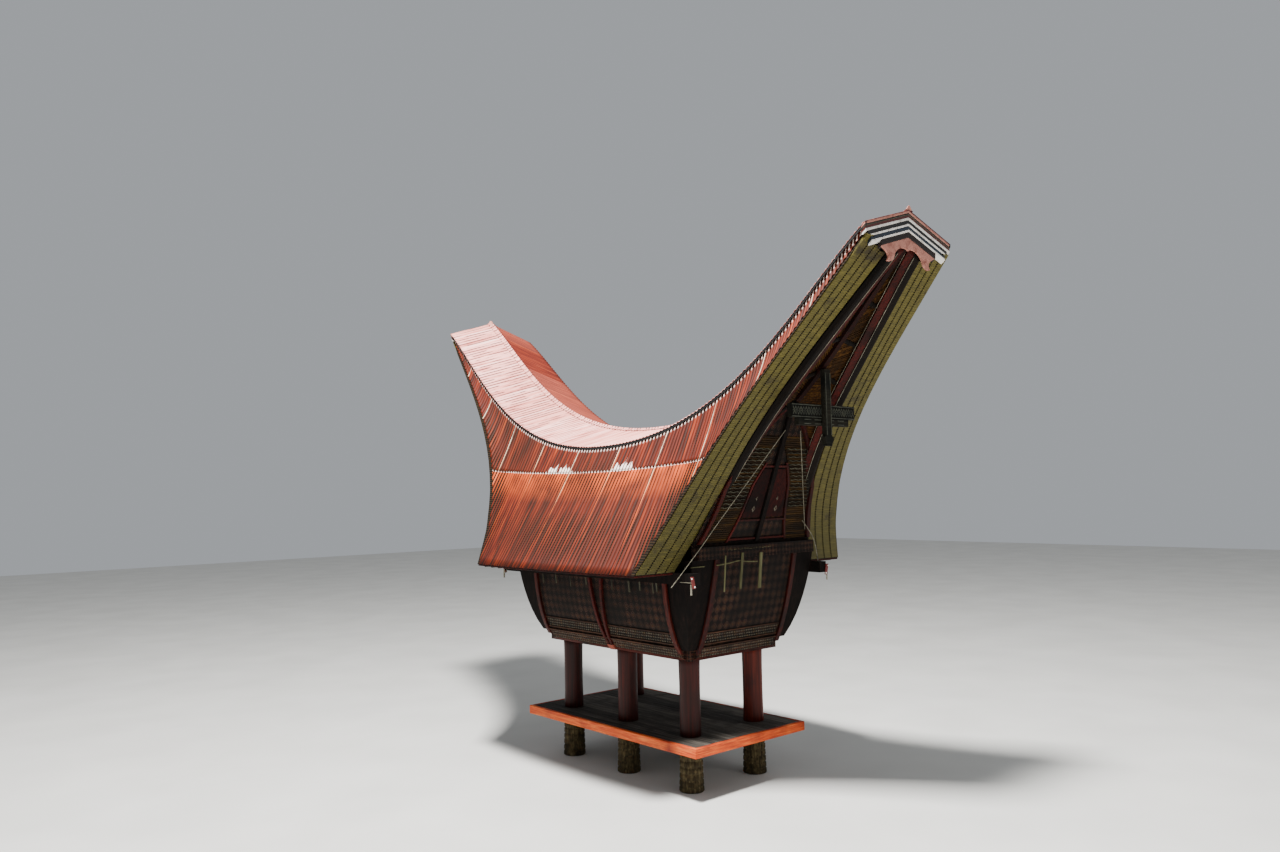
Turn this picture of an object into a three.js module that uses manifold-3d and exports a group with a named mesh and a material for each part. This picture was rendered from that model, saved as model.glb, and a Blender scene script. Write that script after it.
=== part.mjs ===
// A Toraja rice barn: six round posts on stone piers, a sitting platform, a flared
// wooden granary and a saddle roof of layered bamboo under corrugated iron.
// Millimetres, +Z up. The origin is on the ground under the middle of the platform.
// The ridge runs along Y, and the two gables face -Y (front) and +Y (rear).
import * as THREE from "three";
import { mergeVertices } from "three/addons/utils/BufferGeometryUtils.js";
import Module from "manifold-3d";

const wasm = await Module();
wasm.setup();

// Gap left between pieces that touch, and how closely a point on a curve is found.
const GAP = 0.3;
const FINE = 1e-6;
const MERGE_DISTANCE = 1e-3;

// Posts and piers, in two rows of three.
const POST_X = 680;
const POST_Y = 1420;
const POST_RADIUS = 160;
const POST_CLEAR = 1125;
const PIER_TOP_RADIUS = 165;
const PIER_FOOT_RADIUS = 185;
const ROUND_SIDES = 24;

// Sitting platform.
const PLATFORM_TOP = 790;
const PLATFORM_HALF_X = 1170;
const PLATFORM_HALF_Y = 2030;
const RIM_HEIGHT = 140;
const RIM_THICK = 60;
const DECK_THICK = 40;
const BEARER_WIDTH = 160;

// Granary floor and its sill beams.
const SILL_HALF_X = 930;
const SILL_HALF_Y = 1700;
const SILL_WIDTH = 240;
const SILL_HEIGHT = 170;
const FLOOR_THICK = 40;
const JOIST_WIDTH = 120;
const JOIST_HEIGHT = 100;
const JOIST_STEP = 700;

// Granary walls. Each profile is the outer face, from the sill to the wall's top:
// first number across the wall, second number height.
const WALL_THICK = 50;
const WALL_TOP = 3400;
const LONG_PANEL_HALF = 1600;
const GABLE_PANEL_HALF = 800;
const WALL_STEPS = 8;
const LONG_PROFILE = new THREE.QuadraticBezierCurve(
  new THREE.Vector2(930, 1940),
  new THREE.Vector2(1270, 2350),
  new THREE.Vector2(1300, 3400),
);
const GABLE_PROFILE = new THREE.QuadraticBezierCurve(
  new THREE.Vector2(1710, 1940),
  new THREE.Vector2(1980, 2360),
  new THREE.Vector2(2190, 3420),
);

// Beams at the top of the walls.
const PLATE_WIDTH = 150;
const PLATE_HEIGHT = 165;
const PLATE_TOP = 3238;
const PLATE_HALF_LENGTH = 2330;
const TIE_HEIGHT = 180;
const TIE_WIDTH = 150;
const TIE_HALF_LENGTH = 1240;

// Upper gable: a wall that leans out as it rises.
const GABLE_LEAN = 0.4;
const GABLE_THICK = 50;
const GABLE_SET_BACK = 30;

// Roof curves. RIDGE and CUT give height over distance along the ridge line from
// the middle: RIDGE is the top of the cap, CUT is the curved end of the bamboo roof.
const RIDGE = new THREE.CubicBezierCurve(
  new THREE.Vector2(0, 5415),
  new THREE.Vector2(2790, 5415),
  new THREE.Vector2(3865, 7115),
  new THREE.Vector2(5010, 7935),
);
const CUT = new THREE.CubicBezierCurve(
  new THREE.Vector2(1985, 3240),
  new THREE.Vector2(2635, 5130),
  new THREE.Vector2(3535, 5885),
  new THREE.Vector2(4990, 7470),
);
// Half widths of the bamboo end over height: its outer and its inner edge.
const OUTER_EDGE = new THREE.CubicBezierCurve(
  new THREE.Vector2(3240, 2205),
  new THREE.Vector2(4450, 1440),
  new THREE.Vector2(6010, 1155),
  new THREE.Vector2(7500, 915),
);
const INNER_EDGE = new THREE.SplineCurve([
  new THREE.Vector2(3240, 1480),
  new THREE.Vector2(4040, 1080),
  new THREE.Vector2(4880, 880),
  new THREE.Vector2(6140, 630),
  new THREE.Vector2(7420, 350),
]);
const TIP_Y = 5010;
const EAVE_HEIGHT = 3240;
const EAVE_BOW = 100;
const SLOPE_SAG = 30;
const LARGEST_SAG_SHARE = 0.05;
const IRON_THICK = 20;
const IRON_SET_BACK = 60;
const IRON_HEAD = 30;
const CAP_HALF_MIDDLE = 1210;
const CAP_HALF_TIP = 956;
const CAP_DROP = 305;
const CAP_OVERHANG = 70;
// The small peak at each end of the ridge.
const FINIAL_LENGTH = 110;
const FINIAL_HALF_FOOT = 45;
const FINIAL_HALF_TOP = 14;
const FINIAL_RISE_BACK = 10;
const FINIAL_RISE = 60;
const LINING_DEPTH_MIDDLE = 720;
const LINING_DEPTH_TIP = 340;
const LINING_BEND = 2400;
// Height of the underside half way to its crown, as a share of the crown's height.
const KNEE_SHARE_MIDDLE = 0.83;
const KNEE_SHARE_TIP = 0.5;
const BAMBOO_EDGE_DEPTH = 300;
const ROOF_STEPS = 16;
const CUT_STEPS = 16;

// Boards and beams of the two beaks.
const TIP_BOARD_THICK = 50;
const TIP_BOARD_SET_BACK = 20;
const TIP_BOARD_DEPTH = 310;
const BARGE_HALF = 600;
const BARGE_LOBE_X = 345;
const BARGE_LOBE_DEPTH = 690;
const BARGE_ARCH_DEPTH = 480;
const BARGE_ARCH_SHOULDER_X = 246;
const BARGE_WING_DEPTH = 580;
const BARGE_CURVE_STEPS = 5;
const RIDGE_BEAM_WIDTH = 90;
const RIDGE_BEAM_DEPTH = 110;
const RIDGE_BEAM_START = 3080;
const CROSS_Y = 3490;
const CROSS_THICK = 80;
const CROSS_TOP = 5520;
const CROSS_HALF = 725;
const CROSS_HEIGHT = 190;
const CROSS_STEP_HALF = 545;
const CROSS_STEP_HEIGHT = 100;
const STRUT_WIDTH = 130;
const STRUT_FOOT = 4950;

// Finishes.
const STONE = { color: 0x6f6658, roughness: 0.95 };
const RED_PAINT = { color: 0x8a2a16, roughness: 0.6 };
const ORANGE_PAINT = { color: 0xb84a22, roughness: 0.6 };
const GREY_BOARD = { color: 0x5a5650, roughness: 0.9 };
const CARVED_WOOD = { color: 0x2e2018, roughness: 0.8 };
const BAMBOO = { color: 0x8b8a3c, roughness: 0.85 };
const IRON = { color: 0xa04a35, roughness: 0.55, metalness: 0.4 };
const CAP_IRON = { color: 0xc08078, roughness: 0.5, metalness: 0.4 };
const TIP_PAINT = { color: 0xd8b8b0, roughness: 0.6 };

const house = new THREE.Group();

// A named mesh with a finish of its own, added to the building.
function addPiece(name, geometry, finish) {
  const mesh = new THREE.Mesh(geometry, new THREE.MeshStandardMaterial(finish));
  mesh.name = name;
  house.add(mesh);
  return mesh;
}

// A geometry as a solid that can be cut and joined.
function toSolid(geometry) {
  const bare = new THREE.BufferGeometry();
  bare.setAttribute("position", geometry.getAttribute("position"));
  if (geometry.index) bare.setIndex(geometry.index);
  const merged = mergeVertices(bare, MERGE_DISTANCE);
  return new wasm.Manifold(
    new wasm.Mesh({
      numProp: 3,
      vertProperties: new Float32Array(merged.attributes.position.array),
      triVerts: new Uint32Array(merged.index.array),
    }),
  );
}

// The solid back as a geometry.
function toGeometry(solid) {
  const mesh = solid.getMesh();
  const geometry = new THREE.BufferGeometry();
  geometry.setAttribute("position", new THREE.BufferAttribute(mesh.vertProperties, 3));
  geometry.setIndex(new THREE.BufferAttribute(mesh.triVerts, 1));
  geometry.computeVertexNormals();
  return geometry;
}

// A closed skin over rings of points, each ring with the same number of points.
// flat turns a point to two coordinates in the ring's own plane, for the end faces.
function loft(rings, flat) {
  const count = rings[0].length;
  const positions = rings.flat().flatMap((p) => [p.x, p.y, p.z]);
  const index = [];
  for (let r = 0; r < rings.length - 1; r++) {
    for (let i = 0; i < count; i++) {
      const a = r * count + i;
      const b = r * count + ((i + 1) % count);
      index.push(a, b, a + count, b, b + count, a + count);
    }
  }
  const last = (rings.length - 1) * count;
  index.push(...endFaces(rings[0].map(flat)).flatMap(([a, b, c]) => [c, b, a]));
  index.push(...endFaces(rings.at(-1).map(flat)).flat().map((i) => last + i));
  const geometry = new THREE.BufferGeometry();
  geometry.setAttribute("position", new THREE.Float32BufferAttribute(positions, 3));
  geometry.setIndex(index);
  return signedVolume(geometry) < 0 ? turnedInsideOut(geometry) : geometry;
}

// Triangles that fill a flat outline and turn the same way as the outline does
function endFaces(outline) {
  const faces = THREE.ShapeUtils.triangulateShape(outline, []);
  const turn = (points) => Math.sign(THREE.ShapeUtils.area(points));
  const same = turn(outline) === turn(faces[0].map((i) => outline[i]));
  return same ? faces : faces.map(([a, b, c]) => [c, b, a]);
}

// Six times the volume inside an indexed geometry, below zero when its faces point in.
function signedVolume(geometry) {
  const position = geometry.attributes.position;
  const corner = [0, 1, 2].map(() => new THREE.Vector3());
  let total = 0;
  for (let i = 0; i < geometry.index.count; i += 3) {
    corner.forEach((v, k) => v.fromBufferAttribute(position, geometry.index.getX(i + k)));
    total += corner[0].dot(corner[1].clone().cross(corner[2]));
  }
  return total;
}

function turnedInsideOut(geometry) {
  const faces = Array.from(geometry.index.array);
  for (let i = 0; i < faces.length; i += 3) {
    [faces[i + 1], faces[i + 2]] = [faces[i + 2], faces[i + 1]];
  }
  geometry.setIndex(faces);
  return geometry;
}

// The same piece on the other side: across is "x" or "y".
function mirrored(geometry, across) {
  const copy = geometry.index ? geometry.clone() : mergeVertices(geometry);
  copy.scale(across === "x" ? -1 : 1, across === "y" ? -1 : 1, 1);
  return turnedInsideOut(copy);
}

// A box between two corners.
function block(low, high) {
  const size = new THREE.Vector3().subVectors(high, low);
  const middle = new THREE.Vector3().addVectors(low, high).multiplyScalar(0.5);
  return new THREE.BoxGeometry(size.x, size.y, size.z).translate(middle.x, middle.y, middle.z);
}

// An outline drawn in a plane and pushed along the axis that is square to it.
// Along "x" the outline is (y, z), along "y" it is (x, z).
function push(outline, from, to, along) {
  const geometry = new THREE.ExtrudeGeometry(new THREE.Shape(outline), {
    depth: to - from,
    bevelEnabled: false,
  });
  geometry.translate(0, 0, from);
  const basis = new THREE.Matrix4();
  if (along === "x") {
    basis.makeBasis(
      new THREE.Vector3(0, 1, 0),
      new THREE.Vector3(0, 0, 1),
      new THREE.Vector3(1, 0, 0),
    );
    return geometry.applyMatrix4(basis);
  }
  basis.makeBasis(
    new THREE.Vector3(1, 0, 0),
    new THREE.Vector3(0, 0, 1),
    new THREE.Vector3(0, -1, 0),
  );
  return geometry.applyMatrix4(basis);
}

// The second coordinate of a curve where its first, which grows along it, is given.
function valueAt(curve, first) {
  let low = 0;
  let high = 1;
  while (high - low > FINE) {
    const middle = (low + high) / 2;
    if (curve.getPoint(middle).x < first) low = middle;
    else high = middle;
  }
  return curve.getPoint(high).y;
}

// The first coordinate of a wall profile at a height.
function reachAt(profile, height) {
  let low = 0;
  let high = 1;
  while (high - low > FINE) {
    const middle = (low + high) / 2;
    if (profile.getPoint(middle).y < height) low = middle;
    else high = middle;
  }
  return profile.getPoint(high).x;
}

function steps(from, to, count) {
  return Array.from({ length: count + 1 }, (_, i) => from + ((to - from) * i) / count);
}

const SIDES = [
  ["left", -1],
  ["right", 1],
];
const ENDS = [
  ["front", -1],
  ["rear", 1],
];

// Heights of the stack.
const pierTop = PLATFORM_TOP - RIM_HEIGHT;
const sillBottom = PLATFORM_TOP + POST_CLEAR;
const sillTop = sillBottom + SILL_HEIGHT;
const wallBottom = sillTop + GAP;

// Piers and posts
function addPostsAndPiers() {
  const rows = [["front", -POST_Y], ["middle", 0], ["rear", POST_Y]];
  for (const [row, y] of rows) {
    for (const [side, sign] of SIDES) {
      const pier = new THREE.CylinderGeometry(
        PIER_TOP_RADIUS, PIER_FOOT_RADIUS, pierTop, ROUND_SIDES,
      ).rotateX(Math.PI / 2);
      addPiece(`pier_${row}_${side}`, pier, STONE)
        .position.set(sign * POST_X, y, pierTop / 2);
      const length = POST_CLEAR - 2 * GAP;
      const post = new THREE.CylinderGeometry(
        POST_RADIUS, POST_RADIUS, length, ROUND_SIDES,
      ).rotateX(Math.PI / 2);
      addPiece(`post_${row}_${side}`, post, RED_PAINT)
        .position.set(sign * POST_X, y, PLATFORM_TOP + POST_CLEAR / 2);
    }
  }
}

// Platform: a deck with its bearers, and four mitred rim boards
function addPlatform() {
  const inX = PLATFORM_HALF_X - RIM_THICK - GAP;
  const inY = PLATFORM_HALF_Y - RIM_THICK - GAP;
  let deck = toSolid(block(
    new THREE.Vector3(-inX, -inY, PLATFORM_TOP - DECK_THICK),
    new THREE.Vector3(inX, inY, PLATFORM_TOP),
  ));
  for (const y of [-POST_Y, 0, POST_Y]) {
    deck = deck.add(toSolid(block(
      new THREE.Vector3(-inX, y - BEARER_WIDTH / 2, pierTop + GAP),
      new THREE.Vector3(inX, y + BEARER_WIDTH / 2, PLATFORM_TOP - DECK_THICK / 2),
    )));
  }
  addPiece("platform_deck", toGeometry(deck), GREY_BOARD);

  // A rim board with its ends cut at 45 degrees, lying along +X at its outer face y = 0.
  const rim = (half) => {
    const outline = [
      new THREE.Vector2(-half + GAP, 0),
      new THREE.Vector2(half - GAP, 0),
      new THREE.Vector2(half - GAP - RIM_THICK, RIM_THICK),
      new THREE.Vector2(-half + GAP + RIM_THICK, RIM_THICK),
    ];
    return new THREE.ExtrudeGeometry(new THREE.Shape(outline), {
      depth: RIM_HEIGHT,
      bevelEnabled: false,
    });
  };
  for (const [end, sign] of ENDS) {
    const board = addPiece(`platform_rim_${end}`, rim(PLATFORM_HALF_X), ORANGE_PAINT);
    board.position.set(0, sign * PLATFORM_HALF_Y, pierTop);
    if (sign > 0) board.rotation.z = Math.PI;
  }
  for (const [side, sign] of SIDES) {
    const board = addPiece(`platform_rim_${side}`, rim(PLATFORM_HALF_Y), ORANGE_PAINT);
    board.position.set(sign * PLATFORM_HALF_X, 0, pierTop);
    board.rotation.z = (sign * Math.PI) / 2;
  }
}

// Sills on the posts, and the granary floor with its joists between them
function addFloor() {
  const low = sillBottom;
  const high = sillTop;
  for (const [side, sign] of SIDES) {
    const sill = block(
      new THREE.Vector3(SILL_HALF_X - SILL_WIDTH, -SILL_HALF_Y + SILL_WIDTH + GAP, low),
      new THREE.Vector3(SILL_HALF_X, SILL_HALF_Y - SILL_WIDTH - GAP, high),
    );
    addPiece(`sill_${side}`, sign < 0 ? mirrored(sill, "x") : sill, CARVED_WOOD);
  }
  for (const [end, sign] of ENDS) {
    const sill = block(
      new THREE.Vector3(-SILL_HALF_X, SILL_HALF_Y - SILL_WIDTH, low),
      new THREE.Vector3(SILL_HALF_X, SILL_HALF_Y, high),
    );
    addPiece(`sill_${end}`, sign < 0 ? mirrored(sill, "y") : sill, CARVED_WOOD);
  }
  const floorX = reachAt(LONG_PROFILE, wallBottom) - WALL_THICK - GAP;
  const floorY = reachAt(GABLE_PROFILE, wallBottom) - WALL_THICK - GAP;
  let floor = toSolid(block(
    new THREE.Vector3(-floorX, -floorY, wallBottom),
    new THREE.Vector3(floorX, floorY, wallBottom + FLOOR_THICK),
  ));
  const joistX = SILL_HALF_X - SILL_WIDTH - GAP;
  for (const y of [-JOIST_STEP, 0, JOIST_STEP]) {
    floor = floor.add(toSolid(block(
      new THREE.Vector3(-joistX, y - JOIST_WIDTH / 2, wallBottom - JOIST_HEIGHT),
      new THREE.Vector3(joistX, y + JOIST_WIDTH / 2, wallBottom + FLOOR_THICK / 2),
    )));
  }
  addPiece("granary_floor", toGeometry(floor), GREY_BOARD);
}

// The strip between a wall's outer face and its inner face, as an outline
function wallStrip(profile, top) {
  const heights = steps(wallBottom, top, WALL_STEPS);
  const outer = heights.map((z) => new THREE.Vector2(reachAt(profile, z), z));
  const inner = outer.map((p) => new THREE.Vector2(p.x - WALL_THICK, p.y)).reverse();
  return [...outer, ...inner];
}

// Granary walls that flare like a hull, and the corner posts between them
function addWalls() {
  const long = push(wallStrip(LONG_PROFILE, WALL_TOP), -LONG_PANEL_HALF, LONG_PANEL_HALF, "y");
  addPiece("wall_right", long, CARVED_WOOD);
  addPiece("wall_left", mirrored(long, "x"), CARVED_WOOD);
  const gable = push(
    wallStrip(GABLE_PROFILE, WALL_TOP), -GABLE_PANEL_HALF, GABLE_PANEL_HALF, "x",
  );
  addPiece("wall_rear", gable, CARVED_WOOD);
  addPiece("wall_front", mirrored(gable, "y"), CARVED_WOOD);

  const rings = steps(wallBottom, WALL_TOP, WALL_STEPS).map((z) => {
    const x = reachAt(LONG_PROFILE, z);
    const y = reachAt(GABLE_PROFILE, z);
    return [
      [x, y],
      [x, LONG_PANEL_HALF + GAP],
      [x - WALL_THICK, LONG_PANEL_HALF + GAP],
      [x - WALL_THICK, y - WALL_THICK],
      [GABLE_PANEL_HALF + GAP, y - WALL_THICK],
      [GABLE_PANEL_HALF + GAP, y],
    ].map(([px, py]) => new THREE.Vector3(px, py, z));
  });
  const corner = loft(rings, (p) => new THREE.Vector2(p.x, p.y));
  for (const [end, endSign] of ENDS) {
    for (const [side, sideSign] of SIDES) {
      const across = sideSign < 0 ? mirrored(corner, "x") : corner;
      const geometry = endSign < 0 ? mirrored(across, "y") : across;
      addPiece(`corner_post_${end}_${side}`, geometry, CARVED_WOOD);
    }
  }
}

// Wall plates outside the long walls, and a tie beam over each gable wall
function addTopBeams() {
  const plateX = reachAt(LONG_PROFILE, PLATE_TOP) + GAP;
  for (const [side, sign] of SIDES) {
    const plate = block(
      new THREE.Vector3(plateX, -PLATE_HALF_LENGTH, PLATE_TOP - PLATE_HEIGHT),
      new THREE.Vector3(plateX + PLATE_WIDTH, PLATE_HALF_LENGTH, PLATE_TOP),
    );
    addPiece(`wall_plate_${side}`, sign < 0 ? mirrored(plate, "x") : plate, RED_PAINT);
  }
  const tieY = reachAt(GABLE_PROFILE, WALL_TOP) - TIE_WIDTH / 2;
  for (const [end, sign] of ENDS) {
    const tie = block(
      new THREE.Vector3(-TIE_HALF_LENGTH, tieY, WALL_TOP + GAP),
      new THREE.Vector3(TIE_HALF_LENGTH, tieY + TIE_WIDTH, WALL_TOP + TIE_HEIGHT),
    );
    addPiece(`tie_beam_${end}`, sign < 0 ? mirrored(tie, "y") : tie, CARVED_WOOD);
  }
}

// Half width of the ridge cap at a distance along the ridge
function capHalf(y) {
  return CAP_HALF_MIDDLE + ((CAP_HALF_TIP - CAP_HALF_MIDDLE) * y) / TIP_Y;
}

// Main points of the right half of the roof's section at a distance along the ridge.
// shoulder: top of the slope, under the cap. foot: where the slope meets the roof's end
// or the eave. heel: inner edge there. knee and crown: the underside up to the middle.
function roofSection(y) {
  const start = CUT.getPoint(0).x;
  const ridge = valueAt(RIDGE, y);
  const half = capHalf(y);
  const footZ = y > start ? valueAt(CUT, Math.min(y, CUT.getPoint(1).x)) : EAVE_HEIGHT;
  const bow = y < start ? EAVE_BOW * (1 - (y / start) ** 2) : 0;
  const footX = valueAt(OUTER_EDGE, footZ) + bow;
  const shoulderX = half - CAP_OVERHANG;
  const shoulderZ = ridge - (CAP_DROP * shoulderX) / half - IRON_THICK - GAP;
  const heelX = valueAt(INNER_EDGE, footZ);
  const share = Math.max(0, (y - LINING_BEND) / (TIP_Y - LINING_BEND));
  const depth = LINING_DEPTH_MIDDLE + (LINING_DEPTH_TIP - LINING_DEPTH_MIDDLE) * share;
  const crown = Math.max(ridge - depth, footZ + GAP);
  const steep = y < start ? 1 : Math.max(0, 1 - (y - start) / (LINING_BEND - start));
  const kneeShare = KNEE_SHARE_TIP + (KNEE_SHARE_MIDDLE - KNEE_SHARE_TIP) * steep;
  return {
    ridge,
    shoulder: new THREE.Vector2(shoulderX, shoulderZ),
    foot: new THREE.Vector2(footX, footZ),
    heel: new THREE.Vector2(heelX, footZ),
    knee: new THREE.Vector2(heelX / 2, footZ + (crown - footZ) * kneeShare),
    crown,
  };
}

// A solid over the length of the roof, from the rings of its rear half. ringAt gives the
// ring at a distance along the ridge.
function alongRoof(ringAt) {
  const rings = steps(0, TIP_Y, ROOF_STEPS).map(ringAt);
  const rear = loft(rings, (p) => new THREE.Vector2(p.x, p.z));
  return toSolid(rear).add(toSolid(mirrored(rear, "y")));
}

// A point past the end of a line, for shapes that are cut back afterwards
function beyond(from, to, extra) {
  return to.clone().add(to.clone().sub(from).setLength(extra));
}

// How far shapes run on before they are cut, and a width beyond the whole roof.
const OVERSHOOT = 400;
const BEYOND_ROOF = 8000;

// The slope from shoulder to foot, moved out by a distance, with its slight sag.
// start is how far below the shoulder it begins.
function slopeLine(section, out, start) {
  const { shoulder, foot } = section;
  const run = foot.clone().sub(shoulder).normalize();
  const normal = new THREE.Vector2(-run.y, run.x);
  const sag = Math.min(SLOPE_SAG, shoulder.distanceTo(foot) * LARGEST_SAG_SHARE);
  const middle = shoulder.clone().lerp(foot, 0.5).addScaledVector(normal, -sag);
  const head = shoulder.clone().lerp(middle, start / shoulder.distanceTo(middle));
  const far = beyond(shoulder, foot, OVERSHOOT);
  return [head, middle, foot, far].map((p) => p.clone().addScaledVector(normal, out));
}

// Right half of the bamboo roof before its ends are cut, from the underside moved down
// by drop to the underside of the iron.
function halfRoof(middleX, drop) {
  return alongRoof((y) => {
    const section = roofSection(y);
    const { heel, knee, crown, ridge, foot, shoulder } = section;
    const lower = heel.clone().add(foot.clone().sub(shoulder).setLength(OVERSHOOT));
    const under = [
      new THREE.Vector2(middleX, crown),
      knee,
      heel,
      lower,
    ].map((p) => new THREE.Vector2(p.x - (p.x > middleX ? drop : 0), p.y - drop));
    const [top] = slopeLine(section, -GAP, 0);
    const over = [top, ...slopeLine(section, -GAP, IRON_HEAD)].reverse();
    const peak = new THREE.Vector2(middleX, ridge - IRON_THICK - 2 * GAP);
    return [...under, ...over, peak].map((p) => new THREE.Vector3(p.x, y, p.y));
  });
}

// All that lies between the two curved roof ends, which are moved in by a distance
function envelope(inset, bottom) {
  const limit = TIP_Y - TIP_BOARD_SET_BACK - TIP_BOARD_THICK - GAP;
  const side = steps(0, 1, CUT_STEPS).map((t) => CUT.getPoint(t));
  const edge = side.map((p) => new THREE.Vector2(Math.min(p.x - inset, limit), p.y));
  edge[0].y = bottom;
  const top = RIDGE.getPoint(1).y + OVERSHOOT;
  const right = [...edge, new THREE.Vector2(edge.at(-1).x, top)];
  const left = right.map((p) => new THREE.Vector2(-p.x, p.y)).reverse();
  return toSolid(push([...right, ...left], -BEYOND_ROOF, BEYOND_ROOF, "x"));
}

// The part of the roof's right rear end that is the bamboo edge, grown by a distance
function edgeBlock(grow) {
  const levels = steps(0, 1, CUT_STEPS).map((t) => CUT.getPoint(t));
  levels.push(new THREE.Vector2(levels.at(-1).x, levels.at(-1).y + OVERSHOOT));
  levels[0].y -= OVERSHOOT;
  const rings = levels.map((p) => {
    const inner = valueAt(INNER_EDGE, p.y) - grow;
    const back = p.x - BAMBOO_EDGE_DEPTH - grow;
    return [
      new THREE.Vector3(inner, back, p.y),
      new THREE.Vector3(BEYOND_ROOF, back, p.y),
      new THREE.Vector3(BEYOND_ROOF, BEYOND_ROOF, p.y),
      new THREE.Vector3(inner, BEYOND_ROOF, p.y),
    ];
  });
  return toSolid(loft(rings, (p) => new THREE.Vector2(p.x, p.y)));
}

// Roof: bamboo layers, their thick edges at the gables, the iron and the ridge cap
function addRoof() {
  const trimmed = halfRoof(GAP / 2, 0).intersect(envelope(0, EAVE_HEIGHT));
  const rearBlock = edgeBlock(GAP);
  const frontBlock = toSolid(mirrored(toGeometry(rearBlock), "y"));
  const layers = toGeometry(trimmed.subtract(rearBlock).subtract(frontBlock));
  const rearEdge = toGeometry(trimmed.intersect(edgeBlock(0)));

  const iron = alongRoof((y) => {
    const section = roofSection(y);
    const over = slopeLine(section, IRON_THICK, IRON_HEAD);
    const under = slopeLine(section, 0, IRON_HEAD).reverse();
    return [...over, ...under].map((p) => new THREE.Vector3(p.x, y, p.y));
  }).intersect(envelope(IRON_SET_BACK, EAVE_HEIGHT));

  for (const [side, sign] of SIDES) {
    const turn = (geometry) => (sign < 0 ? mirrored(geometry, "x") : geometry);
    addPiece(`roof_layers_${side}`, turn(layers), BAMBOO);
    addPiece(`roof_iron_${side}`, turn(toGeometry(iron)), IRON);
    addPiece(`bamboo_edge_rear_${side}`, turn(rearEdge), BAMBOO);
    addPiece(`bamboo_edge_front_${side}`, turn(mirrored(rearEdge, "y")), BAMBOO);
  }

  const halfCap = alongRoof((y) => {
    const { ridge, shoulder } = roofSection(y);
    const half = capHalf(y);
    return [
      [0, ridge],
      [half, ridge - CAP_DROP],
      [half, ridge - CAP_DROP - IRON_THICK],
      [shoulder.x, shoulder.y + GAP],
      [0, ridge - IRON_THICK],
    ].map(([x, z]) => new THREE.Vector3(x, y, z));
  });
  const cap = halfCap.add(toSolid(mirrored(toGeometry(halfCap), "x")))
    .add(toSolid(finial()))
    .add(toSolid(mirrored(finial(), "y")));
  addPiece("ridge_cap", toGeometry(cap), CAP_IRON);
}

// The peak on the rear end of the ridge, which grows from the cap towards the tip
function finial() {
  const ends = [
    [TIP_Y - FINIAL_LENGTH, FINIAL_RISE_BACK],
    [TIP_Y, FINIAL_RISE],
  ];
  const rings = ends.map(([y, rise]) => {
    const ridge = capHeight(y);
    return [
      [-FINIAL_HALF_FOOT, ridge - IRON_THICK],
      [FINIAL_HALF_FOOT, ridge - IRON_THICK],
      [FINIAL_HALF_TOP, ridge + rise],
      [-FINIAL_HALF_TOP, ridge + rise],
    ].map(([x, z]) => new THREE.Vector3(x, y, z));
  });
  return loft(rings, (p) => new THREE.Vector2(p.x, p.z));
}

// What is left of a shape below the underside of the roof
function underRoof(geometry) {
  const rightHalf = halfRoof(0, GAP);
  const leftHalf = toSolid(mirrored(toGeometry(rightHalf), "x"));
  const rest = toSolid(geometry).subtract(rightHalf).subtract(leftHalf);
  const largest = rest.decompose().sort((a, b) => b.volume() - a.volume())[0];
  return toGeometry(largest);
}

// Upper gable walls, which lean out and fill the space up to the roof's underside
function addGables() {
  const foot = WALL_TOP + TIE_HEIGHT + GAP;
  const top = valueAt(RIDGE, CROSS_Y) - LINING_DEPTH_MIDDLE;
  const footY = reachAt(GABLE_PROFILE, WALL_TOP) - GABLE_SET_BACK;
  const reach = footY + GABLE_LEAN * (top - foot);
  const strip = [
    new THREE.Vector2(footY, foot),
    new THREE.Vector2(reach, top),
    new THREE.Vector2(reach - GABLE_THICK, top),
    new THREE.Vector2(footY - GABLE_THICK, foot),
  ];
  const half = TIE_HALF_LENGTH;
  const geometry = underRoof(push(strip, -half, half, "x"));
  addPiece("gable_rear", geometry, CARVED_WOOD);
  addPiece("gable_front", mirrored(geometry, "y"), CARVED_WOOD);
}

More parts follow.
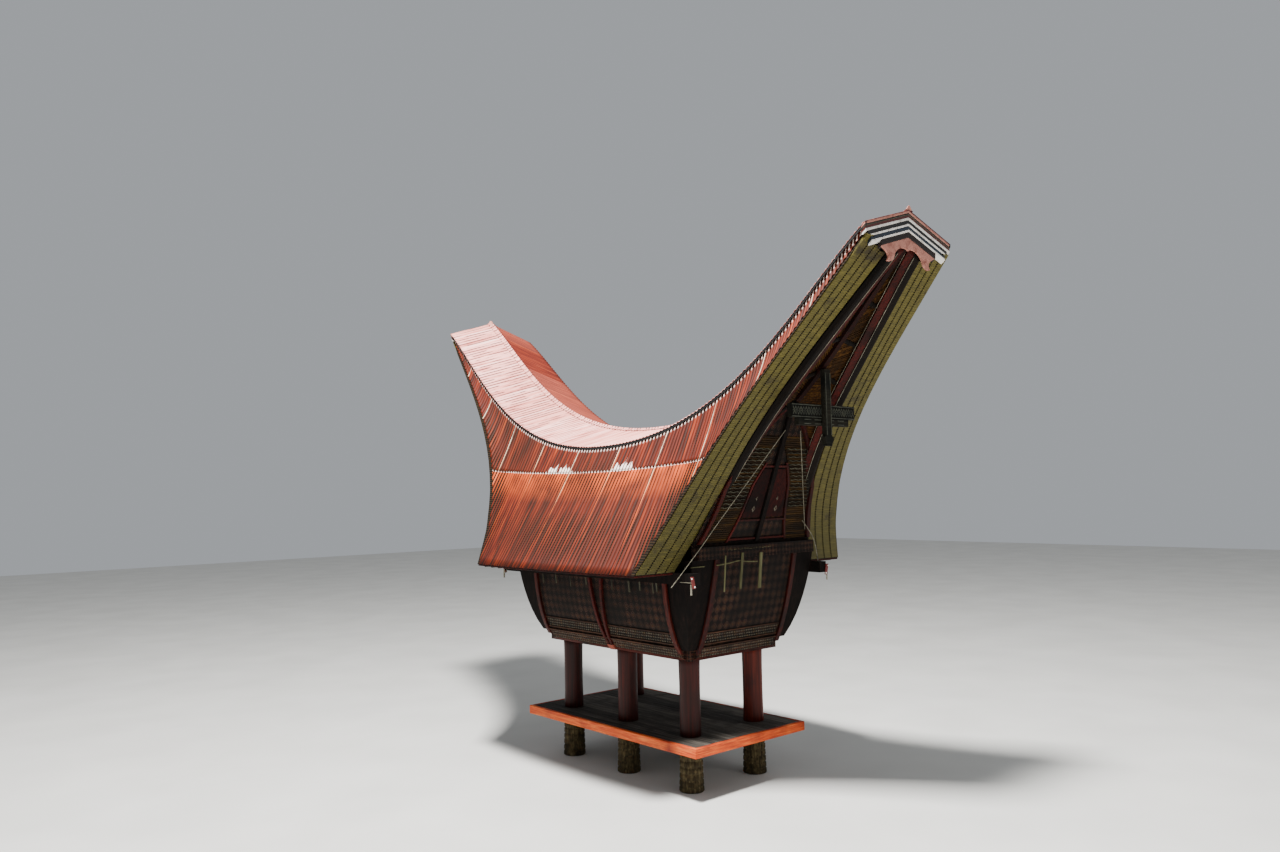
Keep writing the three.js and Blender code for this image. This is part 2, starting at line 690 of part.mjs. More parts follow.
// Beaks: ridge beam, crossbeam, strut and the board at the tip
function addBeaks() {
  const beamEnd = TIP_Y - TIP_BOARD_SET_BACK - TIP_BOARD_THICK - 2 * GAP;
  const beamRings = steps(RIDGE_BEAM_START, beamEnd, CUT_STEPS / 2).map((y) => {
    const top = roofSection(y).crown;
    const half = RIDGE_BEAM_WIDTH / 2;
    return [
      new THREE.Vector3(-half, y, top),
      new THREE.Vector3(half, y, top),
      new THREE.Vector3(half, y, top - RIDGE_BEAM_DEPTH),
      new THREE.Vector3(-half, y, top - RIDGE_BEAM_DEPTH),
    ];
  });
  const beam = underRoof(loft(beamRings, (p) => new THREE.Vector2(p.x, p.z)));

  const crossFoot = CROSS_TOP - CROSS_HEIGHT;
  const crossOutline = [
    [-CROSS_HALF, CROSS_TOP],
    [CROSS_HALF, CROSS_TOP],
    [CROSS_HALF, crossFoot],
    [CROSS_STEP_HALF, crossFoot],
    [CROSS_STEP_HALF, crossFoot - CROSS_STEP_HEIGHT],
    [-CROSS_STEP_HALF, crossFoot - CROSS_STEP_HEIGHT],
    [-CROSS_STEP_HALF, crossFoot],
    [-CROSS_HALF, crossFoot],
  ].map(([x, z]) => new THREE.Vector2(x, z));
  // An outline pushed along "y" runs towards -Y, so its distances are counted that way.
  const crossbeam = push(crossOutline, CROSS_Y - CROSS_THICK / 2, CROSS_Y + CROSS_THICK / 2, "y");

  const strutBack = CROSS_Y + CROSS_THICK / 2 + GAP;
  const strutTop = roofSection(strutBack).crown - RIDGE_BEAM_DEPTH - 3 * GAP;
  const strut = block(
    new THREE.Vector3(-STRUT_WIDTH / 2, -strutBack - CROSS_THICK, STRUT_FOOT),
    new THREE.Vector3(STRUT_WIDTH / 2, -strutBack, strutTop),
  );

  const boardFront = TIP_Y - TIP_BOARD_SET_BACK;
  const tip = push(tipOutline(), boardFront - TIP_BOARD_THICK, boardFront, "y");

  const pieces = [
    ["ridge_beam", mirrored(beam, "y"), RED_PAINT],
    ["beak_crossbeam", crossbeam, CARVED_WOOD],
    ["beak_strut", strut, CARVED_WOOD],
    ["tip_board", tip, TIP_PAINT],
  ];
  for (const [name, geometry, finish] of pieces) {
    addPiece(`${name}_front`, geometry, finish);
    addPiece(`${name}_rear`, mirrored(geometry, "y"), finish);
  }
}

// Height of the cap's middle line, which is straight between its stations
function capHeight(y) {
  const step = TIP_Y / ROOF_STEPS;
  const before = Math.min(Math.floor(y / step), ROOF_STEPS - 1);
  const [low, high] = [before, before + 1].map((i) => valueAt(RIDGE, i * step));
  return low + (high - low) * (y / step - before);
}

// The tip board's outline: a low gable under the cap, with two lobes and an arch below
function tipOutline() {
  const back = TIP_Y - TIP_BOARD_SET_BACK - TIP_BOARD_THICK;
  const ridge = capHeight(back) - IRON_THICK - GAP;
  const half = CAP_HALF_TIP - GAP;
  const slope = CAP_DROP / CAP_HALF_TIP;
  const shape = new THREE.Shape();
  shape.moveTo(0, ridge);
  shape.lineTo(-half, ridge - slope * half);
  shape.lineTo(-half, ridge - slope * half - TIP_BOARD_DEPTH / 2);
  shape.lineTo(-BARGE_HALF, ridge - slope * BARGE_HALF - TIP_BOARD_DEPTH);
  const lobe = ridge - BARGE_LOBE_DEPTH;
  const arch = ridge - BARGE_ARCH_DEPTH;
  const wing = ridge - BARGE_WING_DEPTH;
  const wingTop = ridge - slope * BARGE_HALF - TIP_BOARD_DEPTH;
  shape.quadraticCurveTo(-BARGE_LOBE_X, wing, -BARGE_LOBE_X, lobe);
  shape.quadraticCurveTo(-BARGE_ARCH_SHOULDER_X, arch, 0, arch);
  shape.quadraticCurveTo(BARGE_ARCH_SHOULDER_X, arch, BARGE_LOBE_X, lobe);
  shape.quadraticCurveTo(BARGE_LOBE_X, wing, BARGE_HALF, wingTop);
  shape.lineTo(half, ridge - slope * half - TIP_BOARD_DEPTH / 2);
  shape.lineTo(half, ridge - slope * half);
  return shape.getPoints(BARGE_CURVE_STEPS).slice(0, -1);
}

addPostsAndPiers();
addPlatform();
addFloor();
addWalls();
addTopBeams();
addRoof();
addGables();
addBeaks();

export default house;
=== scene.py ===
# %% [markdown]
# A rice barn with a boat-shaped roof.
# Six round trunks carry a flared granary and a huge saddle roof of layered bamboo under
# corrugated iron. The construction comes as a fixed frame, and this lesson dresses it: each
# cell makes one piece or one finish, at its real size, in metres, with +Z up, the ridge along Y
# and the front gable towards -Y.

# %% Load the frame
import math
import random
from bisect import bisect

import bmesh
import bpy
from mathutils import Matrix, Vector, noise


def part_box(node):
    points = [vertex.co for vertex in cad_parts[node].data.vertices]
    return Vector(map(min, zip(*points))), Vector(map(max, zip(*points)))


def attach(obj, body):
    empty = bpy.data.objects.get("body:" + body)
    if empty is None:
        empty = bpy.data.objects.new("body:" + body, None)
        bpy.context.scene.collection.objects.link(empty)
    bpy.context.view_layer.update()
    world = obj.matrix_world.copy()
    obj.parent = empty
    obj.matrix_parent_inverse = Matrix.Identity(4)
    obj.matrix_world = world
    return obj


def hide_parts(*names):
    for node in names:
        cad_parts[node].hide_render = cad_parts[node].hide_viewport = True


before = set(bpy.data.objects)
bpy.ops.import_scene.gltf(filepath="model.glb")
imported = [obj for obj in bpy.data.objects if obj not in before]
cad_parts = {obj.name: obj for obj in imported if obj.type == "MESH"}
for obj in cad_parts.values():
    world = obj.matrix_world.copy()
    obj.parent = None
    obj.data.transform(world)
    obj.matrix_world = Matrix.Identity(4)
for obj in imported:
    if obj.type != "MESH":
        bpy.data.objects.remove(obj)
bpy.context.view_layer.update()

random.seed(7)
SIDES = (("left", -1), ("right", 1))
ENDS = (("front", -1), ("rear", 1))
print("frame nodes:", len(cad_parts))

# %% [markdown]
# Camera. The photograph was taken from the front left, a little above eye level, and its
# horizon is tilted by about a degree. A camera object looks along its own -Z axis, so its
# matrix is built from three directions: right, up and back.

# %% Camera at the photograph's view
CAMERA_PLACE = Vector((-10.610, -11.873, 4.344))
CAMERA_YAW = math.radians(40.93)
CAMERA_PITCH = math.radians(4.03)
CAMERA_ROLL = math.radians(-1.14)
FOCAL_PIXELS = 961.24
IMAGE_WIDTH = 1280
SENSOR_WIDTH = 36.0

forward = Vector((
    math.sin(CAMERA_YAW) * math.cos(CAMERA_PITCH),
    math.cos(CAMERA_YAW) * math.cos(CAMERA_PITCH),
    math.sin(CAMERA_PITCH),
))
level = Vector((math.cos(CAMERA_YAW), -math.sin(CAMERA_YAW), 0.0))
upright = level.cross(forward)
right = level * math.cos(CAMERA_ROLL) + upright * math.sin(CAMERA_ROLL)
up = upright * math.cos(CAMERA_ROLL) - level * math.sin(CAMERA_ROLL)
camera = bpy.data.objects.new("camera", bpy.data.cameras.new("camera"))
bpy.context.scene.collection.objects.link(camera)
camera.matrix_world = Matrix.Translation(CAMERA_PLACE) @ Matrix(
    (right, up, -forward)
).transposed().to_4x4()
camera.data.sensor_width = SENSOR_WIDTH
camera.data.lens = FOCAL_PIXELS * SENSOR_WIDTH / IMAGE_WIDTH
bpy.context.scene.camera = camera
print("lens in mm:", round(camera.data.lens, 2))

# %% [markdown]
# Light. The real barn stands in high sun from the upper left of the view. A large area light
# gives that side of the studio, a weaker one fills the front, and a pale world lifts the rest.
# The shade under the eaves stays deep, as it does on the real barn.

# %% Studio light and floor
KEY_PLACE = Vector((-7.2, -5.4, 22.0))
KEY_SIZE = 2.6
KEY_WATTS = 18000
FILL_PLACE = Vector((5.0, -19.0, 6.0))
FILL_SIZE = 9.0
FILL_WATTS = 420
LIGHT_AIM = Vector((0.0, 0.0, 3.5))
WORLD_STRENGTH = 0.46
FLOOR_HALF = 60.0


def srgb(code):
    """An sRGB hex colour as linear red, green, blue and alpha."""
    parts = [int(code[i:i + 2], 16) / 255 for i in (1, 3, 5)]
    linear = [p / 12.92 if p <= 0.04045 else ((p + 0.055) / 1.055) ** 2.4 for p in parts]
    return (*linear, 1.0)


def area_light(name, place, size, watts):
    """A square light that faces the middle of the barn."""
    lamp = bpy.data.lights.new(name, "AREA")
    lamp.size = size
    lamp.energy = watts
    light = bpy.data.objects.new(name, lamp)
    light.location = place
    light.rotation_euler = (LIGHT_AIM - place).to_track_quat("-Z", "Y").to_euler()
    bpy.context.scene.collection.objects.link(light)


area_light("key", KEY_PLACE, KEY_SIZE, KEY_WATTS)
area_light("fill", FILL_PLACE, FILL_SIZE, FILL_WATTS)
world = bpy.data.worlds.new("studio")
world.use_nodes = True
world.node_tree.nodes["Background"].inputs["Color"].default_value = srgb("#E9EEF4")
world.node_tree.nodes["Background"].inputs["Strength"].default_value = WORLD_STRENGTH
bpy.context.scene.world = world

# %% [markdown]
# Helpers for finishes. Every material is the same shader with nodes before it, so one small
# function adds any node, sets what is given and links what is a node. Patches of noise and a
# bump come back in most finishes, so they have functions too.

# %% Functions for finishes, and the studio floor
def add(tree, kind, inputs=None, stops=None, **settings):
    """Add a shader node. inputs are values, nodes or sockets; stops are a ramp's colours."""
    node = tree.nodes.new("ShaderNode" + kind)
    for name, value in settings.items():
        setattr(node, name, value)
    for socket, value in (inputs or {}).items():
        if isinstance(value, bpy.types.Node):
            value = value.outputs[0]
        if isinstance(value, bpy.types.NodeSocket):
            tree.links.new(value, node.inputs[socket])
        else:
            node.inputs[socket].default_value = value
    for i, (share, code) in enumerate(stops or []):
        ramp = node.color_ramp.elements
        stop = ramp[i] if i < 2 else ramp.new(share)
        stop.position = share
        stop.color = srgb(code)
    return node


def new_finish(name, roughness, metallic=0.0, gloss=0.5):
    """A material with its node tree, its shader and the coordinates of the object."""
    material = bpy.data.materials.new(name)
    material.use_nodes = True
    tree = material.node_tree
    shader = tree.nodes["Principled BSDF"]
    shader.inputs["Roughness"].default_value = roughness
    shader.inputs["Metallic"].default_value = metallic
    shader.inputs["Specular IOR Level"].default_value = gloss
    return material, tree, shader, add(tree, "TexCoord").outputs["Object"]


def patches(tree, place, scale, low, high, detail=2.0, rough=0.5, least=0.0, most=1.0):
    """A noise in patches: the least value where it is under low, the most over high."""
    cloud = add(tree, "TexNoise", {"Vector": place, "Scale": scale, "Detail": detail,
                                   "Roughness": rough})
    return add(tree, "MapRange", {"Value": cloud, "From Min": low, "From Max": high,
                                  "To Min": least, "To Max": most})


def dress(tree, shader, colour, height, strength, depth):
    """Link a colour and a bump to the shader. depth is the bump's height in metres."""
    bump = add(tree, "Bump", {"Height": height, "Strength": strength, "Distance": depth})
    tree.links.new(colour.outputs[0], shader.inputs["Base Color"])
    tree.links.new(bump.outputs[0], shader.inputs["Normal"])


floor_finish, tree, shader, place = new_finish("matt_studio_paper", 0.9)
grain = add(tree, "TexNoise", {"Vector": place, "Scale": 0.6})
tint = add(tree, "ValToRGB", {"Fac": grain}, stops=[(0.3, "#CFCDC7"), (0.7, "#D8D6D0")])
tree.links.new(tint.outputs[0], shader.inputs["Base Color"])
bm = bmesh.new()
bmesh.ops.create_grid(bm, x_segments=1, y_segments=1, size=FLOOR_HALF)
floor_mesh = bpy.data.meshes.new("floor")
bm.to_mesh(floor_mesh)
bm.free()
floor_mesh.materials.append(floor_finish)
studio_floor = bpy.data.objects.new("floor", floor_mesh)
bpy.context.scene.collection.objects.link(studio_floor)
print("floor is", 2 * FLOOR_HALF, "m wide")

# %% [markdown]
# Faded red corrugated iron. Galvanised steel sheets were painted with red oxide. Rain has drawn
# brown streaks down the sheets, rust glows orange below each lap, and the zinc shows cream where
# two sheets rub at a side lap. Painted highlights stand on the crests just below the cap and on
# the lap line, and painted shade lies in the valleys. The streaks have to follow the sheets, so
# the pattern reads the piece's own UV map: u is the distance along the roof and v the distance
# below the lap line, both in metres.

# %% Faded red iron
CORRUGATION = 0.0743
SHEET_WIDTH = 14 * CORRUGATION
SHEET_START = -7 * CORRUGATION
STREAK = 0.045
LAP_PAINT = 0.0045
WORN_HEIGHT = 0.24
WORN_PATCHES = ((-0.78, 0.3), (0.82, 0.42))


def iron_streaks(tree, uv, stops):
    """Long stains that run down a sheet, coloured by a ramp."""
    run = add(tree, "Mapping", {"Vector": uv, "Scale": (1 / STREAK, 0.9, 1.0)})
    fine = add(tree, "TexNoise", {"Vector": run, "Scale": 0.8, "Detail": 3.0,
                                  "Roughness": 0.65})
    return add(tree, "ValToRGB", {"Fac": fine}, stops=stops)


faded_iron, tree, shader, place = new_finish("faded_red_oxide_iron", 0.6, 0.0, 0.22)
uv = add(tree, "UVMap", uv_map="UVMap")
streaks = iron_streaks(tree, uv, [
    (0.28, "#100501"), (0.40, "#300D02"), (0.52, "#5E1803"), (0.64, "#822A06"), (0.8, "#B45420"),
])
axes = add(tree, "SeparateXYZ", {0: uv})
along, down = axes.outputs[0], axes.outputs[1]
below = add(tree, "Math", {0: down, 1: 0.0}, operation="GREATER_THAN")

# Each sheet has weathered in its own way, so its number gives it a tone
sheet = add(tree, "Math", {0: along, 1: SHEET_START}, operation="SUBTRACT")
sheet = add(tree, "Math", {0: sheet, 1: SHEET_WIDTH}, operation="DIVIDE")
number = add(tree, "Math", {0: sheet}, operation="FLOOR")
course = add(tree, "Math", {0: below, 1: 31.0}, operation="MULTIPLY")
number = add(tree, "Math", {0: number, 1: course}, operation="ADD")
own = add(tree, "TexWhiteNoise", {"W": number}, noise_dimensions="1D")
own = add(tree, "MapRange", {"Value": own, "To Max": 0.4})
streaks = add(tree, "MixRGB", {"Fac": own, "Color1": streaks, "Color2": srgb("#3A1C0A")})

# Broad zones: maroon in the lower corners and brown towards the eave
zone = add(tree, "TexNoise", {"Vector": uv, "Scale": 0.9, "Detail": 2.0})
low = add(tree, "MapRange", {"Value": down, "From Min": 0.9, "From Max": 2.1})
shade = add(tree, "Math", {0: zone, 1: low}, operation="MULTIPLY")
maroon = add(tree, "MixRGB", {"Fac": shade, "Color1": streaks, "Color2": srgb("#320F0C")})

# Rust below the lap line
rust_noise = patches(tree, uv, 2.2, 0.3, 0.66, detail=4.0)
rust_depth = add(tree, "MapRange", {"Value": down, "From Min": 0.0, "From Max": 0.55,
                                    "To Min": 1.0, "To Max": 0.0})
rust = add(tree, "Math", {0: rust_depth, 1: below}, operation="MULTIPLY")
rust = add(tree, "Math", {0: rust, 1: rust_noise}, operation="MULTIPLY")
rusty = add(tree, "MixRGB", {"Fac": rust, "Color1": maroon, "Color2": srgb("#D25210")})

# Painted shade in the valleys, and cream zinc along the side laps, orange further down
part = add(tree, "Math", {0: sheet, 1: 0.5}, operation="ADD")
lap_number = add(tree, "Math", {0: part}, operation="FLOOR")
part = add(tree, "Math", {0: part}, operation="FRACT")
part = add(tree, "Math", {0: part, 1: 0.5}, operation="SUBTRACT")
part = add(tree, "Math", {0: part}, operation="ABSOLUTE")
line = add(tree, "MapRange", {"Value": part, "From Min": LAP_PAINT / SHEET_WIDTH,
                              "From Max": 1.8 * LAP_PAINT / SHEET_WIDTH,
                              "To Min": 1.0, "To Max": 0.0})
later = add(tree, "TexWhiteNoise", {"W": lap_number}, noise_dimensions="1D")
later = add(tree, "MapRange", {"Value": later, "To Min": -0.25, "To Max": 0.35})
fade = add(tree, "Math", {0: down, 1: later}, operation="ADD")
fade = add(tree, "MapRange", {"Value": fade, "From Min": -0.4, "From Max": 1.25})
lap_tint = add(tree, "ValToRGB", {"Fac": fade}, stops=[
    (0.0, "#FFE6C6"), (0.3, "#F2BE8E"), (0.55, "#D0581E"), (1.0, "#8A2A0C"),
])
gone = patches(tree, uv, 4.0, 0.36, 0.52, detail=3.0, least=0.35)
line = add(tree, "Math", {0: line, 1: gone}, operation="MULTIPLY")
phase = add(tree, "Math", {0: along, 1: 2 * math.pi / CORRUGATION}, operation="MULTIPLY")
wave = add(tree, "Math", {0: phase}, operation="COSINE")
# Painted shade: the valleys of the corrugations are darkened
valley_shade = add(tree, "MapRange", {"Value": wave, "From Min": -0.3, "From Max": -0.9,
                                "To Max": 0.45})
dirty_and_shaded = add(tree, "MixRGB", {"Fac": valley_shade, "Color1": rusty, "Color2": srgb("#1E0A04")})
lined = add(tree, "MixRGB", {"Fac": line, "Color1": dirty_and_shaded, "Color2": lap_tint})

# White: a painted highlight on each crest of the lap line, two patches of worn zinc above it,
# and painted highlights on the tips of the crests just below the cap's shadow
crest = add(tree, "MapRange", {"Value": wave, "From Min": 0.25, "From Max": 0.7})
flank = add(tree, "MapRange", {"Value": wave, "From Min": -0.85, "From Max": -0.1})
lap = add(tree, "Math", {0: down}, operation="ABSOLUTE")
lap = add(tree, "MapRange", {"Value": lap, "From Min": 0.008, "From Max": 0.017,
                             "To Min": 1.0, "To Max": 0.0})
kept = patches(tree, uv, 2.6, 0.4, 0.52, least=0.15)
# Painted highlight: the lower edge of the upper sheet catches light on each crest of the lap line
lap_highlights = add(tree, "Math", {0: crest, 1: lap}, operation="MULTIPLY")
zinc_and_highlights = add(tree, "Math", {0: lap_highlights, 1: kept}, operation="MULTIPLY")
teeth = add(tree, "Mapping", {"Vector": uv, "Scale": (1 / CORRUGATION, 0.5, 1.0)})
ragged = patches(tree, teeth, 0.9, 0.35, 0.7, most=WORN_HEIGHT)
for middle, reach in WORN_PATCHES:
    far = add(tree, "Math", {0: along, 1: middle}, operation="SUBTRACT")
    far = add(tree, "Math", {0: far}, operation="ABSOLUTE")
    near = add(tree, "MapRange", {"Value": far, "From Min": 0.5 * reach, "From Max": reach,
                                  "To Min": 1.0, "To Max": 0.0})
    height = add(tree, "Math", {0: near, 1: ragged}, operation="MULTIPLY")
    above = add(tree, "Math", {0: down, 1: height}, operation="ADD")
    patch = add(tree, "MapRange", {"Value": above, "From Max": 0.015})
    upper = add(tree, "Math", {0: down, 1: 0.012}, operation="LESS_THAN")
    patch = add(tree, "Math", {0: patch, 1: upper}, operation="MULTIPLY")
    patch = add(tree, "Math", {0: patch, 1: flank}, operation="MULTIPLY")
    zinc_and_highlights = add(tree, "Math", {0: zinc_and_highlights, 1: patch}, operation="MAXIMUM")
# Painted highlight: the crests just below the cap's edge are paler, where the sun reaches past the
# cap's shadow
from_top = add(tree, "Attribute", attribute_name="from_top").outputs["Fac"]
crest_highlights = add(tree, "MapRange", {"Value": from_top, "From Min": 0.10, "From Max": 0.13,
                             "To Min": 0.65, "To Max": 0.0})
crest_highlights = add(tree, "Math", {0: crest_highlights, 1: crest}, operation="MULTIPLY")
zinc_and_highlights = add(tree, "Math", {0: zinc_and_highlights, 1: crest_highlights}, operation="MAXIMUM")
worn_and_highlit = add(tree, "MixRGB", {"Fac": zinc_and_highlights, "Color1": lined, "Color2": srgb("#FBE9DC")})

grit = add(tree, "TexNoise", {"Vector": uv, "Scale": 60.0, "Detail": 5.0})
rough = add(tree, "MapRange", {"Value": grit, "To Min": 0.5, "To Max": 0.8})
tree.links.new(rough.outputs[0], shader.inputs["Roughness"])
dress(tree, shader, worn_and_highlit, grit, 0.25, 0.002)
print("iron sheets are", round(SHEET_WIDTH, 3), "m wide")

# %% [markdown]
# Chalky ridge iron. The ridge sheets lie almost flat. The slope on -X is a very pale pink, partly
# its chalky paint and partly painted sunlight, and the slope on +X is red-brown as painted shade.
# Painted shade also lies in the valleys as fine maroon lines, which the UV map gives too.

# %% Chalky ridge iron
chalky_iron, tree, shader, place = new_finish("chalky_iron_painted_sun_and_shade", 0.6, 0.0, 0.3)
uv = add(tree, "UVMap", uv_map="UVMap")
streaks = iron_streaks(tree, uv, [
    (0.3, "#94423A"), (0.42, "#DC8C80"), (0.54, "#F6AEA2"), (0.75, "#FFD6CC"),
])
shaded = iron_streaks(tree, uv, [
    (0.3, "#48160C"), (0.5, "#6C2210"), (0.7, "#8C3C24"),
])
# Painted light: a lit copy of the iron on the -X slope and a shaded copy on the +X slope
across = add(tree, "SeparateXYZ", {0: place})
shaded_side = add(tree, "Math", {0: across.outputs[0], 1: 0.0}, operation="GREATER_THAN")
both = add(tree, "MixRGB", {"Fac": shaded_side, "Color1": streaks, "Color2": shaded})
axes = add(tree, "SeparateXYZ", {0: uv})
number = add(tree, "Math", {0: axes.outputs[0], 1: 1 / SHEET_WIDTH}, operation="MULTIPLY")
number = add(tree, "Math", {0: number}, operation="FLOOR")
own = add(tree, "TexWhiteNoise", {"W": number}, noise_dimensions="1D")
own = add(tree, "MapRange", {"Value": own, "To Max": 0.3})
both = add(tree, "MixRGB", {"Fac": own, "Color1": both, "Color2": srgb("#B86452")})
phase = add(tree, "Math", {0: axes.outputs[0], 1: 2 * math.pi / CORRUGATION},
            operation="MULTIPLY")
# Painted shade: fine maroon lines in the valleys of the cap, broken into short lengths
valley_shade = add(tree, "Math", {0: phase}, operation="COSINE")
valley_shade = add(tree, "MapRange", {"Value": valley_shade, "From Min": -0.2, "From Max": -0.8})
short = add(tree, "Mapping", {"Vector": uv, "Scale": (9.0, 2.0, 1.0)})
broken = patches(tree, short, 1.0, 0.42, 0.50, detail=3.0)
dirt_and_shade = add(tree, "Math", {0: valley_shade, 1: broken}, operation="MULTIPLY")
dirty_and_shaded = add(tree, "MixRGB", {"Fac": dirt_and_shade, "Color1": both, "Color2": srgb("#3E0E14")})
tree.links.new(dirty_and_shaded.outputs[0], shader.inputs["Base Color"])
print("finishes:", faded_iron.name, chalky_iron.name)

# %% [markdown]
# Split bamboo. The roof is a stack of split culms, laid like tiles and bound with rattan. Cut
# ends of that stack make the broad yellow-green bands of the gable. Each slat has a tone of
# its own, which a mesh attribute carries, and moss, soot and rain stain many slats at once.

# %% Split bamboo, and the dark stack behind it
split_bamboo, tree, shader, place = new_finish("split_bamboo", 0.7, gloss=0.3)
tone = add(tree, "Attribute", attribute_name="tone").outputs["Fac"]
fibre = add(tree, "TexNoise", {"Vector": add(tree, "Mapping", {
    "Vector": place, "Scale": (6.0, 160.0, 160.0)}), "Scale": 1.0, "Detail": 3.0})
softer = add(tree, "MapRange", {"Value": tone, "To Min": -0.03, "To Max": 0.03})
mixed = add(tree, "Math", {0: softer, 1: fibre}, operation="ADD")
height = add(tree, "SeparateXYZ", {0: place}).outputs[2]
# The slats are a little lighter higher up the band
lighter_higher = add(tree, "MapRange", {"Value": height, "From Min": 3.2, "From Max": 7.4,
                               "To Min": -0.06, "To Max": 0.12})
mixed = add(tree, "Math", {0: mixed, 1: lighter_higher}, operation="ADD")
olive = add(tree, "ValToRGB", {"Fac": mixed}, stops=[
    (0.2, "#2C2908"), (0.42, "#3F390E"), (0.58, "#514917"), (0.8, "#6A6025"),
])
stain = patches(tree, place, 1.7, 0.56, 0.7, detail=6.0, rough=0.7)
sooty_and_shaded = add(tree, "MixRGB", {"Fac": stain, "Color1": olive, "Color2": srgb("#241C0C")})
dress(tree, shader, sooty_and_shaded, fibre, 0.4, 0.001)

# Painted shade: the stack behind the slats and under the roof is near black
shade_dark_bamboo, tree, shader, place = new_finish("bamboo_darkened_as_painted_shade", 0.9, gloss=0.15)
layer = add(tree, "TexWave", {"Vector": place, "Scale": 9.0, "Distortion": 1.5},
            bands_direction="Z")
dark = add(tree, "ValToRGB", {"Fac": layer}, stops=[(0.2, "#0E0A06"), (0.8, "#2A1E10")])
dress(tree, shader, dark, layer, 0.6, 0.01)
print("finishes:", split_bamboo.name, shade_dark_bamboo.name)

# %% [markdown]
# Painted and weathered wood. Posts, stiles and beams carry red oxide paint over hand-hewn
# wood: the grain shows through, and soot darkens broad patches.
# One function gives that family, because only colours and grain direction differ.

# %% Painted wood, grey boards, laths and cane
def wood_finish(name, roughness, colours, stretch, patch_colour, grain_depth=0.002, gloss=0.3,
                spread=0.12):
    """Wood whose grain runs along the axis with the smallest number in stretch."""
    material, tree, shader, place = new_finish(name, roughness, gloss=gloss)
    run = add(tree, "Mapping", {"Vector": place, "Scale": stretch})
    grain = add(tree, "TexNoise", {"Vector": run, "Scale": 1.0, "Detail": 5.0,
                                   "Roughness": 0.65})
    tone = add(tree, "Attribute", attribute_name="tone").outputs["Fac"]
    shifted = add(tree, "MapRange", {"Value": tone, "To Min": -spread, "To Max": spread})
    mixed = add(tree, "Math", {0: grain, 1: shifted}, operation="ADD")
    base = add(tree, "ValToRGB", {"Fac": mixed}, stops=colours)
    patch = patches(tree, place, 2.3, 0.52, 0.72, detail=5.0)
    stained = add(tree, "MixRGB", {"Fac": patch, "Color1": base, "Color2": srgb(patch_colour)})
    dress(tree, shader, stained, grain, 0.5, grain_depth)
    return material


UPRIGHT_GRAIN = (45.0, 45.0, 1.6)
LONG_GRAIN = (45.0, 1.6, 45.0)
CROSS_GRAIN = (1.6, 45.0, 45.0)
post_paint = wood_finish("red_oxide_on_trunk", 0.5, [
    (0.3, "#1C0401"), (0.48, "#340802"), (0.6, "#460F03"), (0.75, "#621D0A"),
], (26.0, 26.0, 0.9), "#240602", 0.001, 0.2)
beam_paint = wood_finish("dark_red_beam_paint", 0.65, [
    (0.3, "#180402"), (0.5, "#300804"), (0.7, "#4C1009"),
], LONG_GRAIN, "#120402", gloss=0.12)
# Painted shade: the red boards of the upper gable are darkened to near black under the beak
shade_dark_red = wood_finish("red_board_darkened_as_painted_shade", 0.8, [
    (0.3, "#0C0302"), (0.5, "#1C0504"), (0.7, "#300B07"),
], UPRIGHT_GRAIN, "#0A0403", gloss=0.1)
ridge_red = wood_finish("sooty_red_ridge_beam", 0.8, [
    (0.3, "#140503"), (0.5, "#280A05"), (0.7, "#40150C"),
], LONG_GRAIN, "#0E0403", 0.003, 0.12)
stile_paint = wood_finish("red_stile_paint", 0.55, [
    (0.3, "#180302"), (0.5, "#300803"), (0.7, "#4E1509"),
], UPRIGHT_GRAIN, "#120402", gloss=0.12)
rim_paint = wood_finish("worn_orange_rim_paint", 0.65, [
    (0.28, "#5A1704"), (0.43, "#A43206"), (0.56, "#C6480C"), (0.75, "#E27830"),
], (3.0, 3.0, 70.0), "#7A220A", 0.003)
brown_rail = wood_finish("bare_brown_rail", 0.75, [
    (0.3, "#1C1009"), (0.5, "#342014"), (0.7, "#503424"),
], (6.0, 6.0, 60.0), "#140B07", gloss=0.15)
smoke_wood = wood_finish("smoke_dark_timber", 0.85, [
    (0.3, "#080504"), (0.5, "#140C09"), (0.7, "#281813"),
], (20.0, 20.0, 4.0), "#080504", 0.003, 0.1)
deck_boards = wood_finish("weathered_grey_board", 0.9, [
    (0.3, "#26211D"), (0.5, "#4A443D"), (0.7, "#6E675D"),
], LONG_GRAIN, "#38332D", 0.004, 0.2)
lath = wood_finish("golden_reed_lath", 0.75, [
    (0.25, "#160B02"), (0.42, "#2C1804"), (0.58, "#442908"), (0.8, "#66461A"),
], (30.0, 3.0, 30.0), "#241403", gloss=0.12, spread=0.1)
# Painted shade: the reed infill is darkened far below its golden colour, deep under the beak
shade_dark_reed = wood_finish("sooty_golden_reed", 0.8, [
    (0.3, "#110A03"), (0.5, "#241605"), (0.65, "#382509"), (0.8, "#4C3512"),
], (3.0, 3.0, 50.0), "#0C0703", gloss=0.12)
cane = wood_finish("peeled_grey_cane", 0.6, [
    (0.3, "#4E4A3C"), (0.5, "#787262"), (0.7, "#9C9684"),
], (20.0, 5.0, 20.0), "#4E4A3C")
pale_slat = wood_finish("pale_bamboo_slat", 0.65, [
    (0.3, "#34321E"), (0.5, "#525034"), (0.7, "#6C6A4A"),
], UPRIGHT_GRAIN, "#363420", gloss=0.15)
dim_slat = wood_finish("sooty_bamboo_line", 0.7, [
    (0.3, "#22211A"), (0.5, "#383629"), (0.7, "#504E40"),
], UPRIGHT_GRAIN, "#22211A", gloss=0.15)
